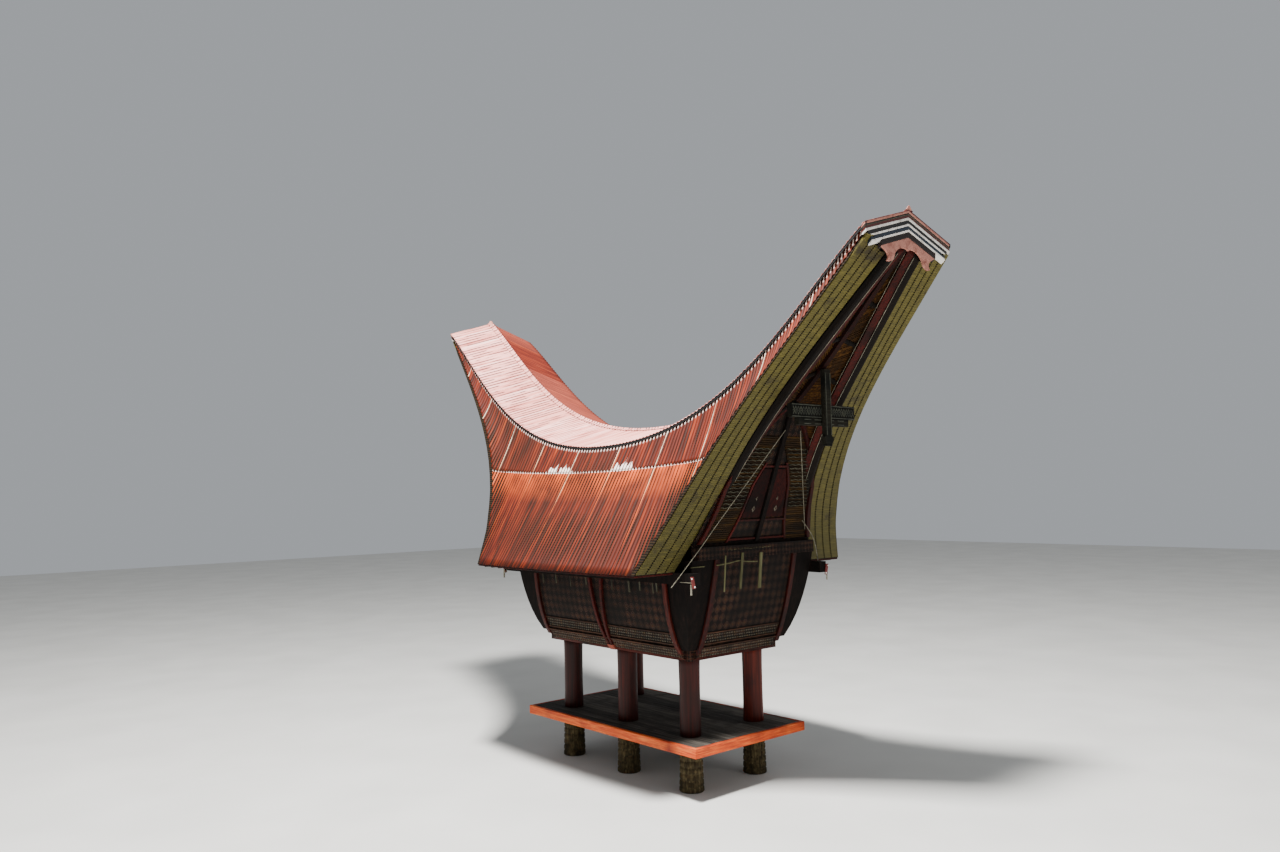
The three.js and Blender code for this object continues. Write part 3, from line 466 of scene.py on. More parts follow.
rattan = wood_finish("black_rattan_binding", 0.75, [
    (0.3, "#080504"), (0.6, "#120C07"), (0.8, "#22180E"),
], (30.0, 30.0, 30.0), "#070504", gloss=0.1)
grey_green = wood_finish("grey_green_weathered_carving", 0.85, [
    (0.3, "#0D0C09"), (0.5, "#181611"), (0.7, "#29271F"),
], CROSS_GRAIN, "#0C0D0A", 0.003, 0.12)
print("wood finishes:", post_paint.name, deck_boards.name, cane.name)

# %% [markdown]
# Paints of the tip and of the carvings: lime white, soot black and chalky pink. Each is one
# hue, broken by dirt that gathers in a fine noise and by brush marks in the bump.

# %% Plain paints
def paint_finish(name, roughness, clean, dirty_and_shaded, dirt_start=0.5, dirt_end=0.75):
    """A brushed paint with dirt in patches."""
    material, tree, shader, place = new_finish(name, roughness)
    dirt_and_shade = patches(tree, place, 9.0, dirt_start, dirt_end, detail=7.0, rough=0.7)
    base = add(tree, "MixRGB", {"Fac": dirt_and_shade, "Color1": srgb(clean), "Color2": srgb(dirty_and_shaded)})
    brush = add(tree, "TexNoise", {"Vector": place, "Scale": 70.0, "Detail": 3.0})
    dress(tree, shader, base, brush, 0.3, 0.001)
    return material


lime_white = paint_finish("lime_white_paint", 0.6, "#E6E0D8", "#8C7C6C")
soot_black = paint_finish("soot_black_paint", 0.6, "#0C0A09", "#1C1512")
tip_red = paint_finish("dark_red_tip_paint", 0.5, "#4A120A", "#220C08")
chalk_pink = paint_finish("chalky_pink_paint", 0.6, "#B87A6A", "#6E3022", 0.48, 0.7)
cream_paint = paint_finish("cream_carving_paint", 0.75, "#4C4636", "#221D15", 0.42, 0.62)
ochre_paint = paint_finish("ochre_carving_paint", 0.75, "#4C3A1A", "#241A0C", 0.42, 0.62)
orange_paint = paint_finish("orange_block_paint", 0.6, "#7A2A0C", "#401406")
bright_red = paint_finish("bright_red_end_paint", 0.5, "#640E06", "#340603")
navy_paint = paint_finish("navy_tip_paint", 0.45, "#14202E", "#0E1014")
# Painted shade: the recess above the bargeboard is painted near black
recess_shade_paint = paint_finish("tip_recess_painted_shade", 0.8, "#170D0B", "#30140F")
scroll_grey = paint_finish("pale_grey_scroll", 0.85, "#3C3E32", "#1E2019", 0.42, 0.6)
print("paints:", lime_white.name, soot_black.name, chalk_pink.name)

# %% [markdown]
# Carved boards. The walls are black boards into which motifs are cut and painted red, cream
# and ochre: a sun disc with rays alternates with nested diamonds. The motif is worked out from
# the place on the board, so each square cell holds one, and the same value drives the bump. The
# face's own normal says whether the cells run along X or along Y. Soot and painted shade hide
# most of the paint: the patches are spread wide on the walls and the tie beam as painted shade.

# %% Carved and painted boards
def carved_finish(name, cell, ground, least_soot_and_shade, rise=0.0):
    """Painted carving in square cells, on boards that face along X or along Y."""
    material, tree, shader, place = new_finish(name, 0.8, gloss=0.15)
    facing = add(tree, "SeparateXYZ", {0: add(tree, "TexCoord").outputs["Normal"]})
    facing = [add(tree, "Math", {0: facing.outputs[i]}, operation="ABSOLUTE") for i in (0, 1)]
    sideways = add(tree, "Math", {0: facing[0], 1: facing[1]}, operation="GREATER_THAN")
    axes = add(tree, "SeparateXYZ", {0: place})
    across = add(tree, "Mix", {0: sideways, 2: axes.outputs[0], 3: axes.outputs[1]})
    steps = []
    for value, shift in ((across.outputs[0], 0.5), (axes.outputs[2], rise)):
        scaled = add(tree, "Math", {0: value, 1: 1 / cell}, operation="MULTIPLY")
        moved = add(tree, "Math", {0: scaled, 1: shift}, operation="ADD")
        part = add(tree, "Math", {0: moved}, operation="FRACT")
        steps.append((add(tree, "Math", {0: part, 1: 0.5}, operation="SUBTRACT"),
                      add(tree, "Math", {0: moved}, operation="FLOOR")))
    (a, column), (b, row) = steps
    spot = add(tree, "CombineXYZ", {0: a, 1: b})
    radius = add(tree, "VectorMath", {0: spot}, operation="LENGTH").outputs["Value"]
    angle = add(tree, "Math", {0: b, 1: a}, operation="ARCTAN2")
    rays = add(tree, "Math", {0: add(tree, "Math", {0: angle, 1: 8.0}, operation="MULTIPLY")},
               operation="COSINE")
    reach = add(tree, "MapRange", {"Value": rays, "From Min": -1.0, "To Min": -0.035,
                                   "To Max": 0.035})
    wavy = add(tree, "Math", {0: radius, 1: reach}, operation="ADD")
    sides = [add(tree, "Math", {0: v}, operation="ABSOLUTE") for v in (a, b)]
    diamond = add(tree, "Math", {0: sides[0], 1: sides[1]}, operation="ADD")
    diamond = add(tree, "Math", {0: diamond, 1: 0.72}, operation="MULTIPLY")
    turn = add(tree, "Math", {0: column, 1: row}, operation="ADD")
    turn = add(tree, "Math", {0: turn, 1: 2.0}, operation="FLOORED_MODULO")
    motif = add(tree, "Mix", {0: turn, 2: wavy, 3: diamond})
    colours = add(tree, "ValToRGB", {"Fac": motif.outputs[0]}, stops=[
        (0.0, "#8A6420"), (0.055, ground), (0.085, "#5E160C"), (0.16, "#8C8066"),
        (0.19, ground), (0.27, "#5E160C"), (0.33, "#8C8066"), (0.355, ground), (0.45, "#4A140C"),
        (0.485, ground),
    ])
    colours.color_ramp.interpolation = "CONSTANT"
    # Soot and painted shade: wide dark patches hide the motifs, widest on the walls and the tie
    # beam
    soot_and_shade = patches(tree, place, 2.6, 0.35, 0.62, detail=6.0, least=least_soot_and_shade, most=0.94)
    sooty_and_shaded = add(tree, "MixRGB", {"Fac": soot_and_shade, "Color1": colours, "Color2": srgb(ground)})
    dress(tree, shader, sooty_and_shaded, add(tree, "RGBToBW", {0: colours}), 0.8, 0.008)
    return material


wall_carving = carved_finish("carved_wall_board", 0.13, "#080503", 0.68)
beam_carving = carved_finish("carved_beam", 0.075, "#080503", 0.64, 0.33)
sill_carving = carved_finish("carved_sill", 0.057, "#120C08", 0.3, 0.2)
print("carvings:", wall_carving.name, beam_carving.name, sill_carving.name)

# %% [markdown]
# Stone. The piers are round, grey-brown shafts with pits, scored by rings and scratches.

# %% Scored grey pier
pier_stone, tree, shader, place = new_finish("scored_grey_stone", 0.92, gloss=0.2)
pits = add(tree, "TexNoise", {"Vector": place, "Scale": 11.0, "Detail": 7.0, "Roughness": 0.6})
scratch = add(tree, "TexNoise", {"Vector": add(tree, "Mapping", {
    "Vector": place, "Scale": (38.0, 38.0, 7.0)}), "Scale": 1.0, "Detail": 2.0})
mixed = add(tree, "Math", {0: pits, 1: scratch}, operation="ADD")
grey = add(tree, "ValToRGB", {"Fac": add(tree, "Math", {0: mixed, 1: 0.5},
                                         operation="MULTIPLY")}, stops=[
    (0.32, "#181309"), (0.46, "#302818"), (0.56, "#473D27"), (0.7, "#685C40"),
])
dress(tree, shader, grey, mixed, 0.5, 0.004)
print("finish:", pier_stone.name)

# %% [markdown]
# Helpers for pieces. Every piece is built as a bmesh whose vertices carry a tone, and gets its
# finish and its body in one place.

# %% Start and finish of a piece
def start():
    """An empty bmesh with a tone for each vertex."""
    bm = bmesh.new()
    bm.verts.layers.float.new("tone")
    return bm


def finish_piece(name, bm, material, replaced=(), smooth=False):
    """Turn a bmesh into a piece of the barn that rides on its only body."""
    bmesh.ops.recalc_face_normals(bm, faces=bm.faces)
    bm.normal_update()
    mesh = bpy.data.meshes.new(name)
    bm.to_mesh(mesh)
    bm.free()
    mesh.materials.append(material)
    if smooth:
        mesh.polygons.foreach_set("use_smooth", [True] * len(mesh.polygons))
    piece = bpy.data.objects.new(name, mesh)
    bpy.context.scene.collection.objects.link(piece)
    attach(piece, "root")
    if replaced:
        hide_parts(*replaced)
    print(name, len(mesh.polygons), "faces")
    return piece

# %% [markdown]
# Helpers for shapes. A shape starts from a bmesh primitive. Bent pieces are straight bars that
# are cut across their length and then put on a curve, vertex by vertex, so one template serves
# hundreds of slats.

# %% Bars, rods and stamps
def template(bm):
    """Keep a bmesh as a shape that can be stamped many times."""
    shape = bpy.data.meshes.new("template")
    bm.to_mesh(shape)
    bm.free()
    return shape


def long_edges(bm):
    """The edges that run the whole length of a template."""
    return [e for e in bm.edges if abs(e.verts[0].co.y - e.verts[1].co.y) > 0.5]


def bar(width, depth, cuts=0, ease=0.004):
    """A template: a bar from 0 to 1 along Y with eased long edges, centred on X and Z."""
    bm = bmesh.new()
    bmesh.ops.create_cube(bm, size=1.0)
    bmesh.ops.translate(bm, vec=(0.0, 0.5, 0.0), verts=bm.verts)
    bmesh.ops.scale(bm, vec=(width, 1.0, depth), verts=bm.verts)
    if ease:
        bmesh.ops.bevel(bm, geom=long_edges(bm), offset=ease, segments=1, profile=0.5,
                        affect="EDGES", material=-1)
    if cuts:
        bmesh.ops.subdivide_edges(bm, edges=long_edges(bm), cuts=cuts)
    return template(bm)


def rod(radius, sides=6, cuts=0):
    """A template: a round rod from 0 to 1 along Y."""
    bm = bmesh.new()
    bmesh.ops.create_cone(bm, cap_ends=True, segments=sides, radius1=radius, radius2=radius,
                          depth=1.0, matrix=Matrix.Rotation(math.pi / 2, 4, "X"))
    bmesh.ops.translate(bm, vec=(0.0, 0.5, 0.0), verts=bm.verts)
    if cuts:
        bmesh.ops.subdivide_edges(bm, edges=long_edges(bm), cuts=cuts)
    return template(bm)


def stamp(bm, shape, put, side=1, end=1, tone=None):
    """Add a template: put moves each vertex, and side and end mirror the place."""
    tones = bm.verts.layers.float["tone"]
    first = len(bm.verts)
    bm.from_mesh(shape)
    bm.verts.ensure_lookup_table()
    shade = random.random() if tone is None else tone
    for vert in bm.verts[first:]:
        spot = put(vert.co)
        vert.co = (side * spot.x, end * spot.y, spot.z)
        vert[tones] = shade


def between(low, high):
    """A put function: a template's length goes from one point to another."""
    low, high = Vector(low), Vector(high)
    run = high - low
    ahead = run.normalized()
    side = ahead.cross(Vector((0.0, 0.0, 1.0)))
    side = Vector((1.0, 0.0, 0.0)) if side.length < 1e-3 else side.normalized()
    top = side.cross(ahead)
    return lambda p: low + side * p.x + run * p.y + top * p.z


def hung(foot, head):
    """A put function: upright or a little askew, with the width kept along X."""
    foot, head = Vector(foot), Vector(head)
    return lambda p: foot.lerp(head, p.y) + Vector((p.x, p.z, 0.0))

# %% [markdown]
# The roof's curves. The frame's roof follows four curves: the ridge line, the curved cut of
# the gable ends, and the outer and inner edges of the bamboo bands. The dressing needs the
# same curves, so they are given by the same control points, and a lookup turns each into a
# function of its first coordinate.

# %% Curves of the roof
RIDGE_POINTS = ((0.0, 5.415), (2.79, 5.415), (3.865, 7.115), (5.01, 7.935))
CUT_POINTS = ((1.985, 3.24), (2.635, 5.13), (3.535, 5.885), (4.99, 7.47))
OUTER_POINTS = ((3.24, 2.205), (4.45, 1.44), (6.01, 1.155), (7.5, 0.915))
INNER_POINTS = ((3.24, 1.48), (4.04, 1.08), (4.88, 0.88), (6.14, 0.63), (7.42, 0.35))
LONG_WALL_POINTS = ((0.93, 1.94), (1.27, 2.35), (1.30, 3.40))
GABLE_WALL_POINTS = ((1.71, 1.94), (1.98, 2.36), (2.19, 3.42))
TIP_Y = 5.01
EAVE_START, EAVE_Z = CUT_POINTS[0]
CUT_END = CUT_POINTS[-1][0]
EAVE_BOW = 0.1
CAP_HALF_MIDDLE = 1.21
CAP_HALF_TIP = 0.956
CAP_DROP = 0.305
CAP_OVERHANG = 0.07
IRON_THICK = 0.02
IRON_SET_BACK = 0.06
SLOPE_SAG = 0.03
SAG_OF_RUN = 0.05
LINING_BEND = 2.4
SAMPLES = 400


def bezier(points):
    """The point on a Bezier curve at a share of its run, by repeated division."""
    def at(share):
        row = [Vector(p) for p in points]
        while len(row) > 1:
            row = [a.lerp(b, share) for a, b in zip(row, row[1:])]
        return row[0]
    return at


def through(points):
    """The point on a smooth curve through all the given points."""
    def at(share):
        i = min(int(share * (len(points) - 1)), len(points) - 2)
        t = share * (len(points) - 1) - i
        near = [Vector(points[min(max(i + k, 0), len(points) - 1)]) for k in (-1, 0, 1, 2)]
        v0, v1 = (near[2] - near[0]) / 2, (near[3] - near[1]) / 2
        return ((2 * near[1] - 2 * near[2] + v0 + v1) * t ** 3
                + (3 * near[2] - 3 * near[1] - 2 * v0 - v1) * t ** 2 + v0 * t + near[1])
    return at


def lookup(curve, flip=False):
    """A function that gives a curve's second coordinate for its first, or the other way."""
    points = [tuple(curve(i / SAMPLES)) for i in range(SAMPLES + 1)]
    if flip:
        points = [(b, a) for a, b in points]
    firsts = [p[0] for p in points]

    def value(first):
        i = min(max(bisect(firsts, first), 1), SAMPLES)
        (a, c), (b, d) = points[i - 1], points[i]
        return c + (d - c) * (first - a) / (b - a)
    return value


ridge_at = lookup(bezier(RIDGE_POINTS))
cut_height = lookup(bezier(CUT_POINTS))
outer_edge = lookup(bezier(OUTER_POINTS))
inner_edge = lookup(through(INNER_POINTS))
long_wall = lookup(bezier(LONG_WALL_POINTS), flip=True)
gable_wall = lookup(bezier(GABLE_WALL_POINTS), flip=True)


def arc_table():
    """Distance along the ridge line for evenly spaced places along Y."""
    table = [(0.0, 0.0)]
    for i in range(SAMPLES):
        y0, y1 = TIP_Y * i / SAMPLES, TIP_Y * (i + 1) / SAMPLES
        step = math.hypot(y1 - y0, ridge_at(y1) - ridge_at(y0))
        table.append((y1, table[-1][1] + step))
    return table


arcs = arc_table()
arc_at = lookup(lambda share: arcs[round(share * SAMPLES)])
reach_of_arc = lookup(lambda share: arcs[round(share * SAMPLES)], flip=True)


def ridge_place(along):
    """The place along Y for a distance along the ridge line, before or behind its middle."""
    return math.copysign(reach_of_arc(abs(along)), along)


def roof_foot(y):
    """Height of the roof's lower edge: level at the eave, then up the gable's cut."""
    y = abs(y)
    return cut_height(min(y, CUT_END)) if y > EAVE_START else EAVE_Z


def cap_half(y):
    """Half width of the ridge cap."""
    return CAP_HALF_MIDDLE + (CAP_HALF_TIP - CAP_HALF_MIDDLE) * abs(y) / TIP_Y


def slope_ends(y):
    """Top and bottom of the slope at a place along the ridge, as (x, z)."""
    y = abs(y)
    foot_z = roof_foot(y)
    bow = EAVE_BOW * (1 - (y / EAVE_START) ** 2) if y < EAVE_START else 0.0
    top_x = cap_half(y) - CAP_OVERHANG
    top_z = ridge_at(y) - CAP_DROP * top_x / cap_half(y) - IRON_THICK
    return Vector((top_x, top_z)), Vector((outer_edge(foot_z) + bow, foot_z))


def slope_point(y, share, out):
    """A point on the right slope, moved out from the bamboo by a distance."""
    top, foot = slope_ends(y)
    run = foot - top
    normal = Vector((-run.y, run.x)).normalized()
    sag = min(SLOPE_SAG, run.length * SAG_OF_RUN) * 4 * share * (1 - share)
    spot = top + run * share + normal * (out - sag)
    return Vector((spot.x, y, spot.y))


print("ridge line is", round(2 * arcs[-1][1], 2), "m long")

# %% [markdown]
# Iron slopes. Each slope is two courses of corrugated sheets: the upper laps over the lower.
# The corrugations follow a cosine, which is their rolled shape, and are evenly spaced along the
# ridge line.

# %% Measures of the iron, its laps and its ends
COLUMNS_PER_WAVE = 8
COURSE_ROWS = 14
WAVE_DEPTH = 0.0075
UNEVEN = 0.0012
LOWER_OUT = 0.0085
UPPER_OUT = 0.0125
LAP_HEIGHT = 4.70
LAP_RISE = 0.0145
COURSE_OVERLAP = 0.07
LOWER_SET_BACK = 0.03
SHEET_THICK = 0.0012
IRON_END = 4.93


def corrugation(along, depth):
    """How far a rolled sheet stands out at a distance along the ridge line."""
    return depth * math.cos(2 * math.pi * along / CORRUGATION)


def lay_uv(bm, marks):
    """Give the faces round the marked vertices their place on the UV map."""
    uv = bm.loops.layers.uv["UVMap"]
    for face in {f for v in marks for f in v.link_faces}:
        for loop in face.loops:
            loop[uv].uv = marks[loop.vert]


def thicken(piece, thickness):
    """Give an open surface the thickness of a sheet."""
    sheet = piece.modifiers.new("sheet", "SOLIDIFY")
    sheet.thickness = thickness
    sheet.offset = 0.0


def lap_share(y):
    """Where the lap between the two courses crosses the slope, as a share of its length."""
    top, foot = slope_ends(y)
    return (top.y - (LAP_HEIGHT + LAP_RISE * y * y)) / (top.y - foot.y)


def end_share(y):
    """Where the iron stops short of the gable's cut or reaches the eave."""
    top, foot = slope_ends(y)
    set_back = abs(y) + IRON_SET_BACK
    if set_back <= EAVE_START:
        return 1.0
    return min(1.0, max(0.02, (top.y - roof_foot(set_back)) / (top.y - foot.y)))


print("the lap lies", round(lap_share(0.0), 2), "of the way down in the middle")

# %% [markdown]
# Each course is a flat grid that is put on the slope, vertex by vertex. The lower one starts
# hidden under the upper one and ends where the lap line meets the gable's cut.

# %% Corrugated sheets on both slopes
def iron_course(bm, side, low_share, high_share, out, reach):
    """Add one course to a bmesh. The shares are functions of the place along the ridge."""
    arc = arc_at(reach)
    columns = int(2 * arc / CORRUGATION * COLUMNS_PER_WAVE)
    from_top = bm.verts.layers.float["from_top"]
    marks = {}
    for vert in bmesh.ops.create_grid(bm, x_segments=columns, y_segments=COURSE_ROWS,
                                      size=0.5)["verts"]:
        along = 2 * arc * vert.co.x
        y = ridge_place(along)
        high, low = high_share(y), low_share(y)
        share = high + (low - high) * (vert.co.y + 0.5)
        wave = corrugation(along, WAVE_DEPTH)
        uneven = UNEVEN * noise.noise(Vector((along * 1.3, share * 3.0, side)))
        spot = slope_point(y, share, out + wave + uneven)
        top, foot = slope_ends(y)
        marks[vert] = (along, (share - lap_share(y)) * (foot - top).length)
        vert[from_top] = share * (foot - top).length
        vert.co = (side * spot.x, spot.y, spot.z)
    lay_uv(bm, marks)


def lap_crossing():
    """How far along the ridge the lap line meets the gable's cut."""
    y = 0.0
    while lap_share(y) < end_share(y):
        y += 0.005
    return y


def hidden_start(y):
    """Where the lower course starts, under the upper one."""
    top, foot = slope_ends(y)
    return min(lap_share(y), end_share(y) - 0.01) - COURSE_OVERLAP / (foot - top).length


lower_reach = lap_crossing() - LOWER_SET_BACK
for side_name, side in SIDES:
    bm = bmesh.new()
    bm.loops.layers.uv.new("UVMap")
    bm.verts.layers.float.new("from_top")
    iron_course(bm, side, lambda y: min(end_share(y), lap_share(y)),
                lambda y: 0.0, UPPER_OUT, IRON_END)
    iron_course(bm, side, end_share, hidden_start, LOWER_OUT, lower_reach)
    thicken(finish_piece(f"iron_sheets_{side_name}", bm, faded_iron,
                         [f"roof_iron_{side_name}"], smooth=True), SHEET_THICK)
print("the lower course reaches", round(lower_reach, 2), "m from the middle")

# %% [markdown]
# Ridge cap. Two rows of corrugated sheets lean on each other over the ridge and stick out
# past the slopes, so their wavy edge throws a saw-toothed shadow.

# %% Ridge cap
CAP_OUT = -0.0105
CAP_ROWS = 8
CAP_SET_BACK = 0.006


def cap_point(y, share, out):
    """A point on the right half of the cap. share is 0 on the ridge and 1 at the edge."""
    half = cap_half(y)
    tilt = math.atan2(CAP_DROP, half)
    return Vector((half * share + out * math.sin(tilt), y,
                   ridge_at(abs(y)) - CAP_DROP * share + out * math.cos(tilt)))


bm = bmesh.new()
bm.loops.layers.uv.new("UVMap")
full_arc = arc_at(TIP_Y)
cap_arc = full_arc - CAP_SET_BACK
columns = int(2 * full_arc / CORRUGATION * COLUMNS_PER_WAVE)
for side in (-1, 1):
    marks = {}
    for vert in bmesh.ops.create_grid(bm, x_segments=columns, y_segments=CAP_ROWS,
                                      size=0.5)["verts"]:
        along = 2 * cap_arc * vert.co.x
        y = ridge_place(along)
        share = vert.co.y + 0.5
        spot = cap_point(y, share, CAP_OUT + corrugation(along, WAVE_DEPTH))
        marks[vert] = (along, share * cap_half(y))
        vert.co = (side * spot.x, spot.y, spot.z)
    lay_uv(bm, marks)
thicken(finish_piece("ridge_sheets", bm, chalky_iron, ["ridge_cap"], smooth=True),
        2 * SHEET_THICK)

# %% [markdown]
# Under the cap's edge runs a black board that stands in for the shadow under the cap: painted
# shade. It closes the gap between cap and slope, and with the wavy sheets above it shows as a
# black saw-toothed line along the whole roof. A bar with a few cuts in each corrugation is put
# along the edge.

# %% Black board for the painted shadow under the cap's edge
EDGE_HEIGHT = 0.036
EDGE_THICK = 0.016
EDGE_SET_BACK = 0.014
EDGE_TOOTH = 0.006
EDGE_CUTS = 4


def under_edge(p):
    """Along the edge of the cap, with teeth below that follow its corrugations."""
    along = cap_arc * (2 * p.y - 1)
    tooth = corrugation(along, EDGE_TOOTH) if p.z < 0 else 0.0
    spot = cap_point(ridge_place(along), 1.0, CAP_OUT - WAVE_DEPTH / 2)
    return Vector((spot.x - EDGE_SET_BACK + p.x, spot.y,
                   spot.z - EDGE_HEIGHT / 2 + p.z + tooth))


bm = start()
edge_bar = bar(EDGE_THICK, EDGE_HEIGHT, EDGE_CUTS * int(2 * cap_arc / CORRUGATION), 0.0)
for side in (-1, 1):
    stamp(bm, edge_bar, under_edge, side)
finish_piece("cap_edge_shadow_boards", bm, soot_black)

# %% [markdown]
# Bamboo bands. At each gable the bamboo stack is cut along a curve and faced with short
# slats, stacked like bricks in four strips. Black rattan binds every slat at the dark seams
# between the strips.

# %% Slats and bindings on the four bands
SLAT_PITCH = 0.029
SLAT_GAP = 0.0006
SLAT_PROUD = 0.012
SLAT_DEPTH = 0.03
SLAT_UNEVEN = 0.0005
STRIPS = 4
STRIP_GAP = 0.010
BAND_TOP = 7.33
BAND_TOP_STEP = 0.045
KNOT_REACH = 0.014
KNOT_OUT = SLAT_PROUD - 0.002


def cut_stations():
    """Evenly spaced places up the gable's curved cut: (y, z), and the way up the curve."""
    curve = bezier(CUT_POINTS)
    points = [curve(i / SAMPLES) for i in range(SAMPLES + 1)]
    stations, run = [], 0.0
    for a, b in zip(points, points[1:]):
        step = (b - a).length
        while run + step >= SLAT_PITCH * (len(stations) + 1):
            share = (SLAT_PITCH * (len(stations) + 1) - run) / step
            stations.append((a.lerp(b, share), (b - a).normalized()))
        run += step
    return stations


def band_point(station, share, out):
    """A point on the rear right band: share 0 at its inner edge, 1 at its outer edge."""
    spot, climb = station
    inner, outer = inner_edge(spot.y), outer_edge(spot.y) - 0.01
    lift = Vector((climb.y, -climb.x)) * out
    return Vector((inner + (outer - inner) * share, spot.x + lift.x, spot.y + lift.y))


def slat_put(station, low, high, out):
    """Put a bar's length across the band and its width up the curve."""
    a, b = band_point(station, low, out), band_point(station, high, out)
    climb = Vector((0.0, station[1].x, station[1].y))
    face = Vector((0.0, station[1].y, -station[1].x))
    return lambda p: a.lerp(b, p.y) + climb * p.x + face * p.z


stations = cut_stations()
slat = bar(SLAT_PITCH - SLAT_GAP, SLAT_DEPTH, 0, 0.0012)
knot = bar(0.016, 0.012, 0, 0.003)
for end_name, end in ENDS:
    for side_name, side in SIDES:
        slats, bindings = start(), start()
        for station in stations:
            height = station[0].y
            width = outer_edge(height) - inner_edge(height)
            gap = STRIP_GAP / width / 2
            for k in range(STRIPS):
                if height > BAND_TOP + BAND_TOP_STEP * k:
                    continue
                low = k / STRIPS + gap
                high = (k + 1) / STRIPS - gap
                proud = SLAT_PROUD - SLAT_DEPTH / 2 + random.uniform(-SLAT_UNEVEN, SLAT_UNEVEN)
                trim = random.uniform(-0.2, 0.2) * gap
                stamp(slats, slat, slat_put(station, low + trim, high + trim, proud), side, end)
                if k:
                    reach = KNOT_REACH / width
                    seam = slat_put(station, k / STRIPS - reach, k / STRIPS + reach, KNOT_OUT)
                    stamp(bindings, knot, seam, side, end)
        finish_piece(f"band_slats_{end_name}_{side_name}", slats, split_bamboo)
        finish_piece(f"band_bindings_{end_name}_{side_name}", bindings, rattan)
print("slats in a band:", len(stations) * STRIPS)

# %% [markdown]
# Ridge flashing. A strip of iron is folded over the ridge, with a round bead in its middle. It
# is nailed through the crests of the cap on both sides, and at each end it rises to a small
# peak.

# %% Flashing, nails and the two peaks
FLASHING_HALF = 0.085
FLASHING_THICK = 0.002
BEAD = 0.018
FLASHING_UP = 0.004
NAIL_HEAD = 0.009
NAIL_SET_BACK = 0.012
NAIL_UP = 0.006
PEAK_LENGTH = 0.11
PEAK_HALF_FOOT = 0.058
PEAK_HALF_TOP = 0.018
PEAK_RISE = 0.042
PEAK_BACK_RISE = 0.012
PEAK_SUNK = 0.012
PEAK_SET_BACK = 0.002
PEAK_TAPER = 0.7
PEAK_SWEEP = 1.6
PEAK_EASE = 0.006


def cap_top(x, y):
    """Height of the cap near the ridge, without its corrugations."""
    return ridge_at(abs(y)) - CAP_DROP * abs(x) / cap_half(y)


def peak(p):
    """Narrow at the top, low at the back and high at the tip."""
    y = TIP_Y - PEAK_SET_BACK - PEAK_LENGTH * (1 - p.y)
    high = p.z + 0.5
    half = PEAK_HALF_FOOT + (PEAK_HALF_TOP - PEAK_HALF_FOOT) * high ** PEAK_TAPER
    rise = PEAK_BACK_RISE + (PEAK_RISE - PEAK_BACK_RISE) * p.y ** PEAK_SWEEP
    return Vector((2 * half * p.x, y, ridge_at(y) - PEAK_SUNK + (rise + PEAK_SUNK) * high))


bm = bmesh.new()
bm.loops.layers.uv.new("UVMap")
marks = {}
for vert in bmesh.ops.create_grid(bm, x_segments=300, y_segments=16, size=0.5)["verts"]:
    along = 2 * cap_arc * vert.co.x
    y = ridge_place(along)
    x = 2 * FLASHING_HALF * vert.co.y
    bead = math.sqrt(max(0.0, BEAD ** 2 - x ** 2))
    marks[vert] = (along, x)
    vert.co = (x, y, cap_top(x, y) + FLASHING_UP + bead)
lay_uv(bm, marks)
bmesh.ops.recalc_face_normals(bm, faces=bm.faces)
bmesh.ops.solidify(bm, geom=bm.faces[:], thickness=FLASHING_THICK)
finish_piece("ridge_flashing", bm, chalky_iron, smooth=True)

bm = bmesh.new()
bmesh.ops.create_uvsphere(bm, u_segments=6, v_segments=4, radius=NAIL_HEAD)
bmesh.ops.scale(bm, vec=(1.0, 1.0, 0.5), verts=bm.verts)
nail = template(bm)
bm = start()
waves = int(full_arc / CORRUGATION)
for i in range(-waves, waves + 1, 2):
    y = ridge_place(i * CORRUGATION)
    for side in (-1, 1):
        x = side * (FLASHING_HALF - NAIL_SET_BACK)
        spot = Vector((x, y, cap_top(x, y) + NAIL_UP))
        stamp(bm, nail, lambda p: spot + p)
finish_piece("flashing_nails", bm, rattan)

bm = start()
block = bar(1.0, 1.0, 3, 0.0)
for end in (-1, 1):
    stamp(bm, block, peak, 1, end)
peaks = finish_piece("ridge_peaks", bm, chalk_pink)
soft = peaks.modifiers.new("round", "BEVEL")
soft.width = PEAK_EASE
soft.segments = 2

# %% [markdown]
# Underside of the beaks. The frame gives a bare vault that runs from a crown on the middle line
# down to a heel at the inner edge of each band. The same section is worked out here, so that
# laths, battens and rafters lie on it.

# %% The vault under the roof
LINING_DEPTH_MIDDLE = 0.72
LINING_DEPTH_TIP = 0.34
KNEE_TIP = 0.5
KNEE_MIDDLE = 0.83
BEAK_START = 2.32
BEAK_END = 4.93


def under_ends(y):
    """Crown, knee and heel of the right half of the vault, as (x, z)."""
    y = abs(y)
    foot_z = roof_foot(y)
    share = max(0.0, (y - LINING_BEND) / (TIP_Y - LINING_BEND))
    depth = LINING_DEPTH_MIDDLE + (LINING_DEPTH_TIP - LINING_DEPTH_MIDDLE) * share
    crown = max(ridge_at(y) - depth, foot_z)
    heel = inner_edge(foot_z)
    flat = max(0.0, min(1.0, (LINING_BEND - y) / (LINING_BEND - EAVE_START)))
    knee = foot_z + (crown - foot_z) * (KNEE_TIP + (KNEE_MIDDLE - KNEE_TIP) * flat)
    return Vector((0.0, crown)), Vector((heel / 2, knee)), Vector((heel, foot_z))


